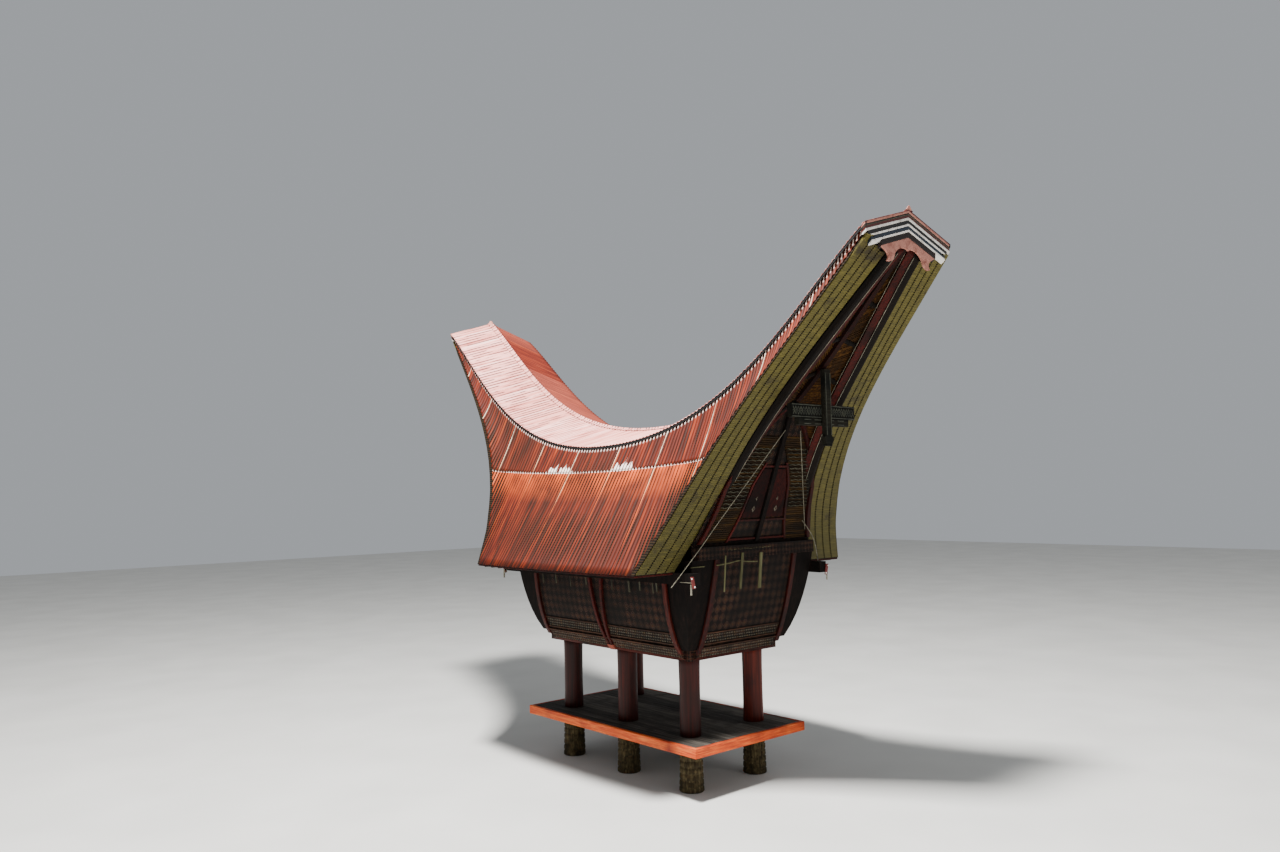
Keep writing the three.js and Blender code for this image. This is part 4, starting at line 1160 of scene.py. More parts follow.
def under_point(y, share, drop):
    """A point below the vault: share 0 at the crown and 1 at the heel."""
    crown, knee, heel = under_ends(y)
    low, high, part = (crown, knee, 2 * share) if share < 0.5 else (knee, heel, 2 * share - 1)
    run = high - low
    inward = Vector((run.y, -run.x)).normalized()
    spot = low + run * part + inward * drop
    return Vector((spot.x, y, spot.y))


def vault_width(y):
    """Length of the right half of the section, from the crown to the heel."""
    crown, knee, heel = under_ends(y)
    return (knee - crown).length + (heel - knee).length


def along_vault(y0, y1, inset, drop):
    """Put a bar along the vault at a distance in from its heel."""
    def put(p):
        y = y0 + (y1 - y0) * p.y
        return under_point(y, 1 - (inset + p.x) / vault_width(y), drop + p.z)
    return put


def across_vault(y0, share0, y1, share1, drop):
    """Put a bar from one place on the vault to another."""
    def put(p):
        y = y0 + (y1 - y0) * p.y
        return under_point(y + p.x, share0 + (share1 - share0) * p.y, drop + p.z)
    return put


print("vault is", round(vault_width(3.0), 2), "m from crown to heel at 3 m")

# %% [markdown]
# Reed laths close the underside. They lie at a slant between the ridge beam and the edge
# rafters, and dark round battens are lashed across them.

# %% Laths, battens, rafters and canes
LATH_PITCH = 0.026
LATH_SKEW = 0.34
LATH_RADIUS = 0.011
LATH_CROWN = 0.05
LATH_HEEL = 0.12
LATH_LEAST = 0.02
LATH_UNEVEN = 0.003
BATTEN_FIRST = 0.25
BATTEN_STEP = 0.43
BATTEN_HEEL = 0.93
BATTEN_LEAN = 0.03
BATTEN_RADIUS = 0.02
BATTEN_DROP = 2 * LATH_RADIUS + BATTEN_RADIUS
RING_SHARES = (0.1, 0.3, 0.5, 0.7, 0.86)
RING_HALF = 0.015
RAFTER_WIDTH = 0.13
RAFTER_DEPTH = 0.05
BUNDLE_WIDTH = 0.14
BUNDLE_DEPTH = 0.11
CANE_RADIUS = 0.0055
POLE_START = BEAK_START - 0.1

reed = rod(LATH_RADIUS, 5, 3)
batten = rod(BATTEN_RADIUS, 8, 4)
ring = rod(BATTEN_RADIUS + 0.006, 8)
bundle = bar(BUNDLE_WIDTH, BUNDLE_DEPTH, 20, 0.02)
rafter = bar(RAFTER_WIDTH, RAFTER_DEPTH, 20, 0.006)
thin_cane = rod(CANE_RADIUS, 6, 24)
under_battens = 2 * LATH_RADIUS + 2 * BATTEN_RADIUS + RAFTER_DEPTH / 2


def add_laths(bm, side, end):
    """Slanting laths on one half of a beak, cut off where the beak starts and ends."""
    y = BEAK_START - LATH_SKEW
    while y < BEAK_END:
        y0, y1 = y, y + LATH_SKEW
        share0 = LATH_CROWN
        share1 = 1 - LATH_HEEL / vault_width(max(y, BEAK_START))
        if y1 > BEAK_END:
            share1 = share0 + (share1 - share0) * (BEAK_END - y0) / LATH_SKEW
            y1 = BEAK_END
        if y0 < BEAK_START:
            share0 = share0 + (share1 - share0) * (BEAK_START - y0) / LATH_SKEW
            y0 = BEAK_START
        if y1 - y0 > LATH_LEAST:
            drop = LATH_RADIUS + random.uniform(-LATH_UNEVEN, LATH_UNEVEN)
            stamp(bm, reed, across_vault(y0, share0, y1, share1, drop), side, end)
        y += LATH_PITCH * random.uniform(0.85, 1.15)


def add_battens(bm, side, end):
    """Round battens across one half of a beak, with rings where they are lashed."""
    y = BEAK_START + BATTEN_FIRST
    while y < BEAK_END - 0.1:
        stamp(bm, batten, across_vault(
            y, LATH_CROWN, y + BATTEN_LEAN, BATTEN_HEEL, BATTEN_DROP), side, end)
        for share in RING_SHARES:
            tied = y + BATTEN_LEAN * share
            stamp(bm, ring, across_vault(
                tied, share - RING_HALF, tied, share + RING_HALF, BATTEN_DROP), side, end)
        y += BATTEN_STEP


for end_name, end in ENDS:
    laths, battens, rafters, canes = (start() for _ in range(4))
    for side in (-1, 1):
        add_laths(laths, side, end)
        add_battens(battens, side, end)
        # Poles along the vault: where they start, how far in from the heel, and how far down
        for bm, shape, first, inset, drop in (
                # The bundle is black as painted shade under the band's thickness
                (battens, bundle, POLE_START, 0.08, BUNDLE_DEPTH / 2 + 0.01),
                (rafters, rafter, POLE_START, 0.22, under_battens),
                (canes, thin_cane, BEAK_START, 0.14, BUNDLE_DEPTH + 0.015),
                (canes, thin_cane, BEAK_START, 0.30, under_battens - RAFTER_DEPTH / 3)):
            stamp(bm, shape, along_vault(first, BEAK_END, inset, drop), side, end)
    finish_piece(f"beak_laths_{end_name}", laths, lath)
    finish_piece(f"beak_battens_{end_name}", battens, rattan)
    finish_piece(f"edge_rafters_{end_name}", rafters, beam_paint)
    finish_piece(f"beak_canes_{end_name}", canes, cane)

# %% [markdown]
# Tip of the beak. Under the iron lies a stack of painted boards, bent over the middle like the
# cap itself: white lines between black and dark red ones, each set back a little.

# %% Striped stack
STACK_FRONT = 4.998
STACK_DEPTH = 0.06
STACK_DROP = 0.012
STACK_GAP = 0.0005
STACK = (
    # thickness, set back, half width, finish
    (0.030, 0.000, 0.950, chalk_pink),
    (0.016, 0.006, 0.945, soot_black),
    (0.010, 0.004, 0.945, cream_paint),
    (0.034, 0.008, 0.940, tip_red),
    (0.028, 0.005, 0.935, lime_white),
    (0.056, 0.012, 0.880, soot_black),
    (0.021, 0.005, 0.825, lime_white),
    (0.056, 0.012, 0.820, navy_paint),
    (0.022, 0.005, 0.815, lime_white),
    # The lowest layer is painted near black as the shadow in the recess above the bargeboard
    (0.068, 0.012, 0.600, recess_shade_paint),
)


def bent_board(middle_y, half, drop, thick):
    """A put function: bent over the middle like the cap, and sloping with the ridge."""
    def put(p):
        x = (2 * p.y - 1) * half
        y = middle_y + p.x
        top = ridge_at(y) - CAP_DROP * abs(x) / CAP_HALF_TIP
        return Vector((x, y, top - drop - thick / 2 + p.z))
    return put


for end_name, end in ENDS:
    drop = STACK_DROP
    layers = {finish.name: start() for _, _, _, finish in STACK}
    for thick, back, half, finish in STACK:
        board = bar(STACK_DEPTH, thick - STACK_GAP, 7, 0.002)
        middle_y = STACK_FRONT - back - STACK_DEPTH / 2
        stamp(layers[finish.name], board, bent_board(middle_y, half, drop, thick), 1, end)
        drop += thick
    for finish_name, bm in layers.items():
        finish_piece(f"tip_{finish_name}_{end_name}", bm, bpy.data.materials[finish_name])
print("stack is", round(drop - STACK_DROP, 3), "m thick")

# %% [markdown]
# Bargeboard. A pink board with a scalloped lower edge hangs below the stack: it has hooked lobes
# and an arch with a cusp. Its outline is one face that is pushed back by the board's thickness,
# and a dark red rim lies along its top.

# %% Scalloped bargeboard
BARGE_FRONT = 4.975
BARGE_THICK = 0.028
RIM_BOARD = (0.034, 0.010)
# The right half of the outline, from the middle of the top edge round to the middle below:
# distance from the middle, and height.
BARGE_TOP = ((0.0, 7.578), (0.05, 7.55), (0.13, 7.522), (0.29, 7.488), (0.44, 7.446),
             (0.60, 7.372))
BARGE_BOTTOM = ((0.60, 7.366), (0.53, 7.338), (0.468, 7.302), (0.443, 7.255), (0.455, 7.222),
                (0.472, 7.198), (0.41, 7.194), (0.345, 7.228), (0.315, 7.290), (0.28, 7.338),
                (0.22, 7.378), (0.15, 7.404), (0.07, 7.410), (0.018, 7.400), (0.0, 7.382))


def smooth_line(points, count):
    """Evenly shared points on a smooth curve."""
    curve = through(points)
    return [curve(i / count) for i in range(count + 1)]


def along_rim(p):
    """Along the right half of the board's top edge."""
    spot = rim_curve(min(max(p.y, 0.0), 1.0))
    return Vector((spot.x, BARGE_FRONT - BARGE_THICK / 2 + p.x, spot.y + p.z))


rim = bar(*RIM_BOARD, 12, 0.003)
rim_curve = through(BARGE_TOP)
half_line = smooth_line(BARGE_TOP, 14) + smooth_line(BARGE_BOTTOM, 36)[1:]
outline = half_line + [Vector((-p.x, p.y)) for p in reversed(half_line[1:-1])]
for end_name, end in ENDS:
    bm = start()
    face = bm.faces.new([bm.verts.new((p.x, end * BARGE_FRONT, p.y)) for p in outline])
    pushed = bmesh.ops.extrude_face_region(bm, geom=[face])["geom"]
    back = [v for v in pushed if isinstance(v, bmesh.types.BMVert)]
    bmesh.ops.translate(bm, vec=(0.0, -end * BARGE_THICK, 0.0), verts=back)
    bmesh.ops.triangulate(bm, faces=[f for f in bm.faces if len(f.verts) > 4])
    finish_piece(f"bargeboard_{end_name}", bm, chalk_pink, [f"tip_board_{end_name}"])
    bm = start()
    for side in (-1, 1):
        stamp(bm, rim, along_rim, side, end)
    finish_piece(f"bargeboard_rim_{end_name}", bm, tip_red)

# %% [markdown]
# Crossbeam and strut. A carved beam in two steps crosses the beak before the gable, and a
# strut hangs from the ridge beam before it. The carving is a lattice: thin bars zigzag both ways
# between two borders, so they make a chain of diamonds, and each diamond holds a small boss.

# %% Crossbeam with its lattice, and its strut
CROSS_LOW, CROSS_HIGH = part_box("beak_crossbeam_rear")
STRUT_LOW, STRUT_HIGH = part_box("beak_strut_rear")
CROSS_STEP = 0.1
CROSS_STEP_HALF = 0.545
CHEVRON = 0.045
CARVE_PROUD = 0.012
LATTICE_STEP = 0.055
LATTICE_RISE = 0.055
BORDER = 0.014
BOSS_HALF = 0.01
# The strut's foot widens in steps: half width, lower end and upper end above its lowest point
STRUT_FOOT = ((0.095, 0.06, 0.13), (0.08, 0.03, 0.06), (0.06, 0.0, 0.03))
DASH_PLACES = (-0.36, -0.14, 0.14, 0.36)
DASH_HALF = 0.07
DASH_RISE = 0.028

border_bar = bar(BORDER, CARVE_PROUD, 0, 0.003)
lattice_bar = bar(0.009, CARVE_PROUD, 0, 0.002)
boss = bar(2 * BOSS_HALF, CARVE_PROUD, 0, 0.006)
beam_middle = (CROSS_LOW.y + CROSS_HIGH.y) / 2
beam_depth = CROSS_HIGH.y - CROSS_LOW.y
beam_height = CROSS_HIGH.z - CROSS_LOW.z - CROSS_STEP
beam_half = CROSS_HIGH.x
carved_half = beam_half - CHEVRON
carved_face = CROSS_HIGH.y + CARVE_PROUD / 2 - 0.004
row = CROSS_HIGH.z - beam_height / 2
step_row = CROSS_LOW.z + CROSS_STEP / 2
strut_y = (STRUT_HIGH.y + STRUT_LOW.y) / 2
strut_depth = STRUT_HIGH.y - STRUT_LOW.y
strut_width = STRUT_HIGH.x - STRUT_LOW.x


def chevron(p):
    """A beam whose ends are pointed like an arrow."""
    reach = beam_half - CHEVRON * abs(2 * p.z / beam_height)
    return Vector((reach * (2 * p.y - 1), beam_middle + p.x, row + p.z))


def lower_step(p):
    """The shorter step under the beam."""
    return Vector((CROSS_STEP_HALF * (2 * p.y - 1), beam_middle + p.x, step_row + p.z))


def carved_line(x0, z0, x1, z1, out=0.0):
    """A put function for a line of carving on the beam's face."""
    return between((x0, carved_face + out, z0), (x1, carved_face + out, z1))


def strut_part(low, high):
    """A put function for a length of the strut between two heights."""
    return between((0.0, strut_y, low), (0.0, strut_y, high))


for end_name, end in ENDS:
    beam, carving = start(), start()
    stamp(beam, bar(beam_depth, beam_height, 1, 0.006), chevron, 1, end)
    stamp(beam, bar(beam_depth * 0.9, CROSS_STEP, 1, 0.006), lower_step, 1, end)
    cells = int(carved_half / LATTICE_STEP)
    for i in range(-cells, cells):
        x = i * LATTICE_STEP
        for k in (-1, 1):
            rise = k * LATTICE_RISE * (-1) ** i
            stamp(carving, lattice_bar, carved_line(x, row - rise, x + LATTICE_STEP, row + rise),
                  1, end)
        stamp(carving, boss, carved_line(x - BOSS_HALF, row, x + BOSS_HALF, row, -0.002), 1, end)
    for x in DASH_PLACES:
        for k in (-1, 1):
            z = step_row + k * DASH_RISE
            stamp(carving, border_bar, carved_line(x - DASH_HALF, z, x + DASH_HALF, z, -0.004),
                  1, end)
    for z in (CROSS_HIGH.z - BORDER, row - beam_height / 2 + BORDER):
        stamp(carving, border_bar, carved_line(-carved_half, z, carved_half, z), 1, end)
    finish_piece(f"crossbeam_{end_name}", beam, grey_green,
                 [f"beak_crossbeam_{end_name}"])
    finish_piece(f"crossbeam_carving_{end_name}", carving, scroll_grey)

    strut, lines = start(), start()
    stamp(strut, bar(strut_width, strut_depth, 0, 0.008),
          strut_part(STRUT_LOW.z + STRUT_FOOT[0][2], STRUT_HIGH.z), 1, end)
    for half_width, low, high in STRUT_FOOT:
        stamp(strut, bar(2 * half_width, strut_depth, 0, 0.006),
              strut_part(STRUT_LOW.z + low, STRUT_LOW.z + high), 1, end)
    for side in (-1, 1):
        x = side * (strut_width / 2 - 0.016)
        stamp(lines, border_bar, between((x, STRUT_HIGH.y, STRUT_LOW.z + 0.15),
                                         (x, STRUT_HIGH.y, STRUT_HIGH.z - 0.05)), 1, end)
    finish_piece(f"strut_{end_name}", strut, grey_green,
                 [f"beak_strut_{end_name}"])
    finish_piece(f"strut_lines_{end_name}", lines, scroll_grey)

# %% [markdown]
# Walls. The granary flares like a hull. Functions give the outer face of a long wall, of a
# lower gable wall and of the leaning upper gable, so that stiles, rails and motifs can be laid
# on them by their place along the wall, their height and how far they stand out.

# %% Faces of the walls
UPPER_FOOT = 2.157
UPPER_FOOT_Z = 3.58
UPPER_LEAN = 0.4


def upper_wall(z):
    """How far along Y the leaning upper gable stands at a height."""
    return UPPER_FOOT + UPPER_LEAN * (z - UPPER_FOOT_Z)


def on_long(across, z, out):
    """A place on the right long wall."""
    return Vector((long_wall(z) + out, across, z))


def on_gable(across, z, out):
    """A place on the rear gable wall of the granary."""
    return Vector((across, gable_wall(z) + out, z))


def on_upper(across, z, out):
    """A place on the rear upper gable."""
    return Vector((across, upper_wall(z) + out, z))


def upright_bar(face, across, low, high, out):
    """Put a bar upright on a wall. across may change with the share of the height."""
    def put(p):
        z = low + (high - low) * p.y
        place = across(p.y) if callable(across) else across
        return face(place + p.x, z, out + p.z)
    return put


def level_bar(face, low, high, z, out):
    """Put a bar level on a wall, from one place to another."""
    return lambda p: face(low + (high - low) * p.y, z + p.x, out + p.z)


def on_both(bm, shape, put, where):
    """Stamp a shape in one tone on both long sides, or on both gables."""
    tone = random.random()
    for sign in (-1, 1):
        side, end = (sign, 1) if where == "long" else (1, sign)
        stamp(bm, shape, put, side, end, tone)


print("the upper gable leans", round(math.degrees(math.atan(UPPER_LEAN))), "degrees")

# %% [markdown]
# The lower boards of the hull close the flare down to the sills. Each is a wedge: its outer face
# follows the flare, and its back lies on the sill. They end at the stiles, so the carved ends of
# the sills show at the corners.

# %% Hull boards, stiles and rails
HULL_LOW = 1.93
HULL_HIGH = 2.12
HULL_THICK = 0.022
STILE_WIDTH = 0.085
STILE_DEPTH = 0.045
STILE_FOOT = 2.03
WALL_HEAD = 3.39
LONG_HEAD = WALL_HEAD - 0.2
LONG_STILE_Y = 1.60
GABLE_STILE_X = 0.84
RIB_WIDTH = 0.055
RIB_DEPTH = 0.05
RIB_FOOT = 0.03
RIB_SPREAD = 0.13
RIB_BLOCK = (0.15, 0.06)
BLOCK_ENDS = (HULL_LOW - 0.01, HULL_LOW + 0.07)
FOOT_RAIL = (0.045, 0.03)
TAIL_FROM = 0.9
TAIL_SLIM = 0.75
SILL_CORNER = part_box("sill_rear")[1]
SILL_LAP = 0.003


def wedge(face, back):
    """Put a bar upright: its outer side on the flared wall and its inner side on the sill."""
    def put(p):
        z = HULL_LOW + (HULL_HIGH - HULL_LOW) * p.y
        return face(p.x, z, HULL_THICK) if p.z > 0 else back(p.x, min(z, SILL_CORNER.z))
    return put


for name, half, face, back in (
        ("long", LONG_STILE_Y, on_long, lambda a, z: Vector((SILL_CORNER.x - SILL_LAP, a, z))),
        ("gable", GABLE_STILE_X, on_gable, lambda a, z: Vector((a, SILL_CORNER.y - SILL_LAP, z)))):
    bm = start()
    on_both(bm, bar(2 * half, HULL_THICK, 5, 0.0), wedge(face, back), name)
    finish_piece(f"hull_boards_{name}", bm, sill_carving)

stile = bar(STILE_WIDTH, STILE_DEPTH, 12, 0.008)
bm = start()
for face, place, head, where in ((on_long, LONG_STILE_Y, LONG_HEAD, "long"),
                                 (on_gable, GABLE_STILE_X, WALL_HEAD, "gable")):
    for k in (-1, 1):
        on_both(bm, stile, upright_bar(face, k * place, STILE_FOOT, head, STILE_DEPTH / 2), where)
finish_piece("red_stiles", bm, stile_paint)

# A rib of two bars that meet below, at the middle post of each long side
bm = start()
slim = bar(RIB_WIDTH, RIB_DEPTH, 12, 0.006)
for k in (-1, 1):
    on_both(bm, slim, upright_bar(on_long, lambda t: k * (RIB_FOOT + RIB_SPREAD * t), HULL_LOW,
                                  LONG_HEAD, RIB_DEPTH / 2), "long")
finish_piece("middle_ribs", bm, beam_paint)

# Orange blocks at the middle ribs' feet, and bottom rails that taper to a tail at the corners
blocks, rails = start(), start()
on_both(blocks, bar(*RIB_BLOCK, 2, 0.012),
        upright_bar(on_long, 0.0, *BLOCK_ENDS, RIB_BLOCK[1] / 2), "long")
for face, half, where in ((on_long, 1.64, "long"), (on_gable, 0.88, "gable")):
    def tail(p):
        """Level along the wall's foot, narrower over its last tenth."""
        share = 2 * p.y - 1
        slim = 1.0 - TAIL_SLIM * max(0.0, (abs(share) - TAIL_FROM) / 0.1)
        return face(half * share, HULL_LOW + 0.012 + p.x * slim, 0.014 + p.z * slim)
    on_both(rails, bar(*FOOT_RAIL, 19, 0.006), tail, where)
finish_piece("rib_feet", blocks, orange_paint)
finish_piece("foot_rails", rails, stile_paint)

# %% [markdown]
# Carved bands. Two bands run round the granary: three rows of small cream diamonds on black in
# each, between light brown rails. Each motif is a low pyramid, cut from a cone with few sides.

# %% Rails and motifs of the bands
BAND_ROWS = (1.982, 2.027, 2.072, 2.195, 2.240, 2.285)
RAIL_HEIGHTS = (2.108, 2.160, 2.322)
RAIL_WIDTH = 0.020
RAIL_DEPTH = 0.016
DIAMOND = 0.0185
DIAMOND_PITCH = 0.052
MOTIF_PROUD = 0.008
RIB_CLEAR = 0.09


def motif(sides, radius, stretch=1.0):
    """A template: a low pyramid on the XY plane that points along Z."""
    bm = bmesh.new()
    bmesh.ops.create_cone(bm, cap_ends=True, segments=sides, radius1=radius,
                          radius2=radius * 0.55, depth=MOTIF_PROUD)
    bmesh.ops.scale(bm, vec=(1.0, stretch, 1.0), verts=bm.verts)
    return template(bm)


def on_face(face, across, z, out):
    """Put a motif on a wall."""
    return lambda p: face(across + p.x, z + p.y, out + p.z)


def hull_out(z):
    """How far the hull boards stand out at a height."""
    return HULL_THICK if z < HULL_HIGH else 0.0


rail = bar(RAIL_WIDTH, RAIL_DEPTH, 0, 0.003)
diamond = motif(4, DIAMOND, 0.9)
rails, cream, ochre = start(), start(), start()
for face, half, where in ((on_long, 1.55, "long"), (on_gable, 0.79, "gable")):
    for z in RAIL_HEIGHTS:
        on_both(rails, rail, level_bar(face, -half, half, z, RAIL_DEPTH / 2 + hull_out(z)), where)
    for k, z in enumerate(BAND_ROWS):
        for i in range(int(2 * half / DIAMOND_PITCH)):
            place = -half + DIAMOND_PITCH * (i + 0.25 + 0.5 * (k % 2))
            if where == "long" and abs(place) < RIB_CLEAR:
                continue
            layer = ochre if (i + k) % 4 == 0 else cream
            on_both(layer, diamond, on_face(face, place, z, hull_out(z) + MOTIF_PROUD / 2), where)
finish_piece("band_rails", rails, brown_rail)
finish_piece("band_diamonds", cream, cream_paint)
finish_piece("band_centres", ochre, ochre_paint)

# %% [markdown]
# Upper gable. The leaning wall is framed by dark red rakes under the roof, and before it two
# pale canes lean towards each other. Beside each rake lies an infill of split reeds, laid level,
# with pale wavering lines on its upper part. A black king post stands in the middle, between two
# red boards with small motifs.

# %% Measures of the upper gable
RAKE_WIDTH = 0.07
RAKE_DEPTH = 0.05
RAKE_INSET = 0.04
UPPER_LOW = 3.62
INFILL_PITCH = 0.03
INFILL_START = 0.10
INFILL_WIDTH = 0.45
REED_DEPTH = 0.016
REED_GAP = 0.004
RINGS_FROM = 4.12
RINGS_TO = 4.95
RING_STEP = 0.055
RING_BAR = (0.009, 0.008)
RING_WAVE = 0.007
INNER_GAP = 0.03
INNER_TOP = 4.75
INNER_STILE = (0.04, 0.035)
ROD_FOOT = (1.035, 2.268, 3.75)
ROD_HEAD = (0.165, 2.965, 5.2)
ROD_RADIUS = 0.006
BOARD_LOW = 3.97
BOARD_HIGH = 4.66
BOARD_INNER = 0.065
BOARD_GAP = 0.075
BOARD_THICK = 0.018
# Height and radius of the motifs on the red boards
BOARD_MOTIFS = ((4.09, 0.036), (4.24, 0.024))
CROSS_RAILS = (3.66, 3.93, 4.70)
CROSS_RAIL = (0.03, 0.03)
KING_POST = (0.085, 0.05)


def rake_x(z):
    """Half width of the upper gable wall at a height, where it meets the vault."""
    crown, knee, heel = under_ends(upper_wall(z))
    for low, high in ((knee, crown), (heel, knee)):
        if z >= low.y:
            share = min(1.0, (z - low.y) / max(1e-6, high.y - low.y))
            return low.x + (high.x - low.x) * share
    return heel.x


UPPER_TOP = UPPER_LOW
while rake_x(UPPER_TOP) > 0.06:
    UPPER_TOP += 0.01
print("upper gable is", round(UPPER_TOP - UPPER_LOW, 2), "m tall")


def beside_rake(side, distance, low, high):
    """Across the wall at a distance in from a rake, but never over the middle."""
    return lambda t: side * max(0.075, rake_x(low + (high - low) * t) - distance)


def infill_ends(z):
    """Inner and outer end of the reeds beside a rake at a height."""
    reach = rake_x(z) - INFILL_START
    return reach - INFILL_WIDTH, reach

# %% [markdown]
# The rake with its cane, the reeds with their lines, the inner stile and the red board are laid
# on one half of the gable, then on the other half. Each is stamped on both gables at once.

# %% Rakes, infill and panels of the upper gable
rakes, rods, infill, rings, stiles, posts, boards, marks = (start() for _ in range(8))
rake = bar(RAKE_WIDTH, RAKE_DEPTH, 16, 0.006)
for side in (-1, 1):
    rake_top = UPPER_TOP - 0.1
    on_both(rakes, rake, upright_bar(on_upper, beside_rake(side, RAKE_INSET, UPPER_LOW, rake_top),
                                     UPPER_LOW, rake_top, RAKE_DEPTH / 2), "gable")
    on_both(rods, rod(ROD_RADIUS, 6, 4), between(
        (side * ROD_FOOT[0], *ROD_FOOT[1:]), (side * ROD_HEAD[0], *ROD_HEAD[1:])), "gable")
    z = UPPER_LOW + 0.02
    while z < UPPER_TOP - 0.45:
        inner, reach = infill_ends(z)
        inner = max(0.07, inner)
        if reach - inner > 0.05:
            on_both(infill, bar(INFILL_PITCH - REED_GAP, REED_DEPTH, 0, 0.005),
                    level_bar(on_upper, side * inner, side * reach, z, 0.01), "gable")
        z += INFILL_PITCH
    z = RINGS_FROM
    while z < RINGS_TO:
        reach = rake_x(z) - INFILL_START - 0.01
        inner = max(0.08, reach - INFILL_WIDTH + 0.03)

        def ring_line(p):
            """A pale line that wavers across the infill."""
            wave = RING_WAVE * math.sin(19.0 * p.y + 37.0 * z)
            return on_upper(side * (inner + (reach - inner) * p.y), z + wave + p.x, 0.03 + p.z)
        on_both(rings, bar(*RING_BAR, 12, 0.0), ring_line, "gable")
        z += RING_STEP
    edge = beside_rake(side, INFILL_START + INFILL_WIDTH + INNER_GAP, UPPER_LOW, INNER_TOP)
    on_both(stiles, bar(*INNER_STILE, 10, 0.005),
            upright_bar(on_upper, edge, UPPER_LOW, INNER_TOP, INNER_STILE[1] / 2), "gable")

    def red_board(p):
        """A board between the king post and the inner stile, narrower at its top."""
        z = BOARD_LOW + (BOARD_HIGH - BOARD_LOW) * p.y
        reach = max(0.09, infill_ends(z)[0] - BOARD_GAP)
        return on_upper(side * (BOARD_INNER + (reach - BOARD_INNER) * (p.x + 0.5)), z,
                        0.012 + p.z)
    on_both(boards, bar(1.0, BOARD_THICK, 8, 0.0), red_board, "gable")
    for z, radius in BOARD_MOTIFS:
        x = side * (BOARD_INNER + infill_ends(z)[0] - BOARD_GAP) / 2
        on_both(marks, motif(4, radius, 1.3), on_face(on_upper, x, z, 0.025), "gable")
        on_both(rakes, motif(4, radius * 0.5, 1.3), on_face(on_upper, x, z, 0.031), "gable")
on_both(posts, bar(*KING_POST, 10, 0.006),
        upright_bar(on_upper, 0.0, UPPER_LOW, UPPER_TOP - 0.15, KING_POST[1] / 2), "gable")
for z in CROSS_RAILS:
    half = infill_ends(z)[0] - INNER_GAP
    if half > 0.1:
        on_both(stiles, bar(*CROSS_RAIL, 0, 0.004),
                level_bar(on_upper, -half, half, z, CROSS_RAIL[1] / 2), "gable")
for name, bm, finish, slot in (
        ("gable_rakes", rakes, beam_paint, "red_beam"), ("gable_rods", rods, cane, "bamboo"),
        ("gable_infill", infill, shade_dark_reed, "bamboo"), ("gable_rings", rings, dim_slat, "bamboo"),
        ("gable_stiles", stiles, beam_paint, "red_beam"),
        ("king_posts", posts, smoke_wood, "carved_wood"),
        ("gable_boards", boards, shade_dark_red, "red_beam"),
        ("gable_marks", marks, cream_paint, "carved_wood")):
    finish_piece(name, bm, finish)

# %% [markdown]
# Slats on the gable. Two broad pale slats and a thin one hang almost plumb from the face of the
# tie beam, so they stand clear of the wall that slopes away below. A bent cane passes behind
# them, and the tie beam carries a line of small pale marks.

# %% Slats, cane and pale marks
# A slat's width, then its foot and its head
SLATS = ((0.020, (-0.724, 2.225, 2.933), (-0.728, 2.275, 3.444)),
         (0.045, (-0.393, 2.225, 2.950), (-0.374, 2.275, 3.468)),
         (0.058, (0.014, 2.225, 2.932), (0.018, 2.275, 3.452)))
PALE_SLAT_THICK = 0.018
BENT_CANE_RADIUS = 0.009
BENT_CANE = ((-0.88, 2.243, 3.316), (-0.65, 2.243, 3.330), (-0.42, 2.243, 3.355),
             (-0.28, 2.243, 3.335), (-0.035, 2.243, 3.322))
# A short level cane by the corner: its two ends across the wall, and its height
LEVEL_CANE = (-1.35, -1.075, 3.31)
LEVEL_CANE_RADIUS = 0.008
MARKS_FROM = -0.65
MARKS_TO = 0.25
MARKS_RISE = 0.125
PEG_PLACES = (-1.44, -1.36, -1.07, -0.82, -0.42, 0.22, 0.63, 1.02, 1.38)
PEG_HEAD = 3.06

slats = start()
for width, foot, head in SLATS:
    on_both(slats, bar(width, PALE_SLAT_THICK, 6, 0.004), hung(foot, head), "gable")
bent = through(BENT_CANE)
on_both(slats, rod(BENT_CANE_RADIUS, 6, 16), lambda p: bent(p.y) + Vector((0.0, p.x, p.z)),
        "gable")
on_both(slats, rod(LEVEL_CANE_RADIUS, 6), level_bar(on_gable, *LEVEL_CANE, 0.03), "gable")
tie_low, tie_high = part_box("tie_beam_rear")
x = MARKS_FROM
while x < MARKS_TO:
    z = tie_low.z + MARKS_RISE + random.uniform(-0.006, 0.006)
    mark = motif(4, random.uniform(0.009, 0.017), 0.7)
    for end in (-1, 1):
        stamp(slats, mark, lambda p: Vector((x + p.x, tie_high.y + 0.002 + p.z, z + p.y)), 1, end)
    x += random.uniform(0.022, 0.06)

# Short pegs under the plates of the long sides
pegs = start()
for y in PEG_PLACES:
    foot = PEG_HEAD - random.uniform(0.12, 0.19)
    on_both(pegs, bar(random.choice((0.018, 0.03)), 0.014, 2, 0.003),
            upright_bar(on_long, y, foot, PEG_HEAD, 0.035), "long")
for name, bm, finish in (("pale_slats", slats, pale_slat), ("side_pegs", pegs, dim_slat)):
    finish_piece(name, bm, finish)

# %% [markdown]
# Eaves. A thin dark red board runs under the iron's lower edge and under the foot of each band,
# and round rafters carry the bamboo above the wall plates. Each plate's end has a small red
# board that hangs a little askew with two white marks, a pale peg behind it and a thin cane
# beside it. Another cane leans from the eave to the gable.

# %% Eave boards, rafters, plate ends and poles
EAVE_BOARD = (0.02, 0.026)
BOARD_Z = EAVE_Z - EAVE_BOARD[1] / 2
RAFTER_STEP = 0.23
RAFTER_Z = EAVE_Z - 0.022
RAFTER_RADIUS = 0.021
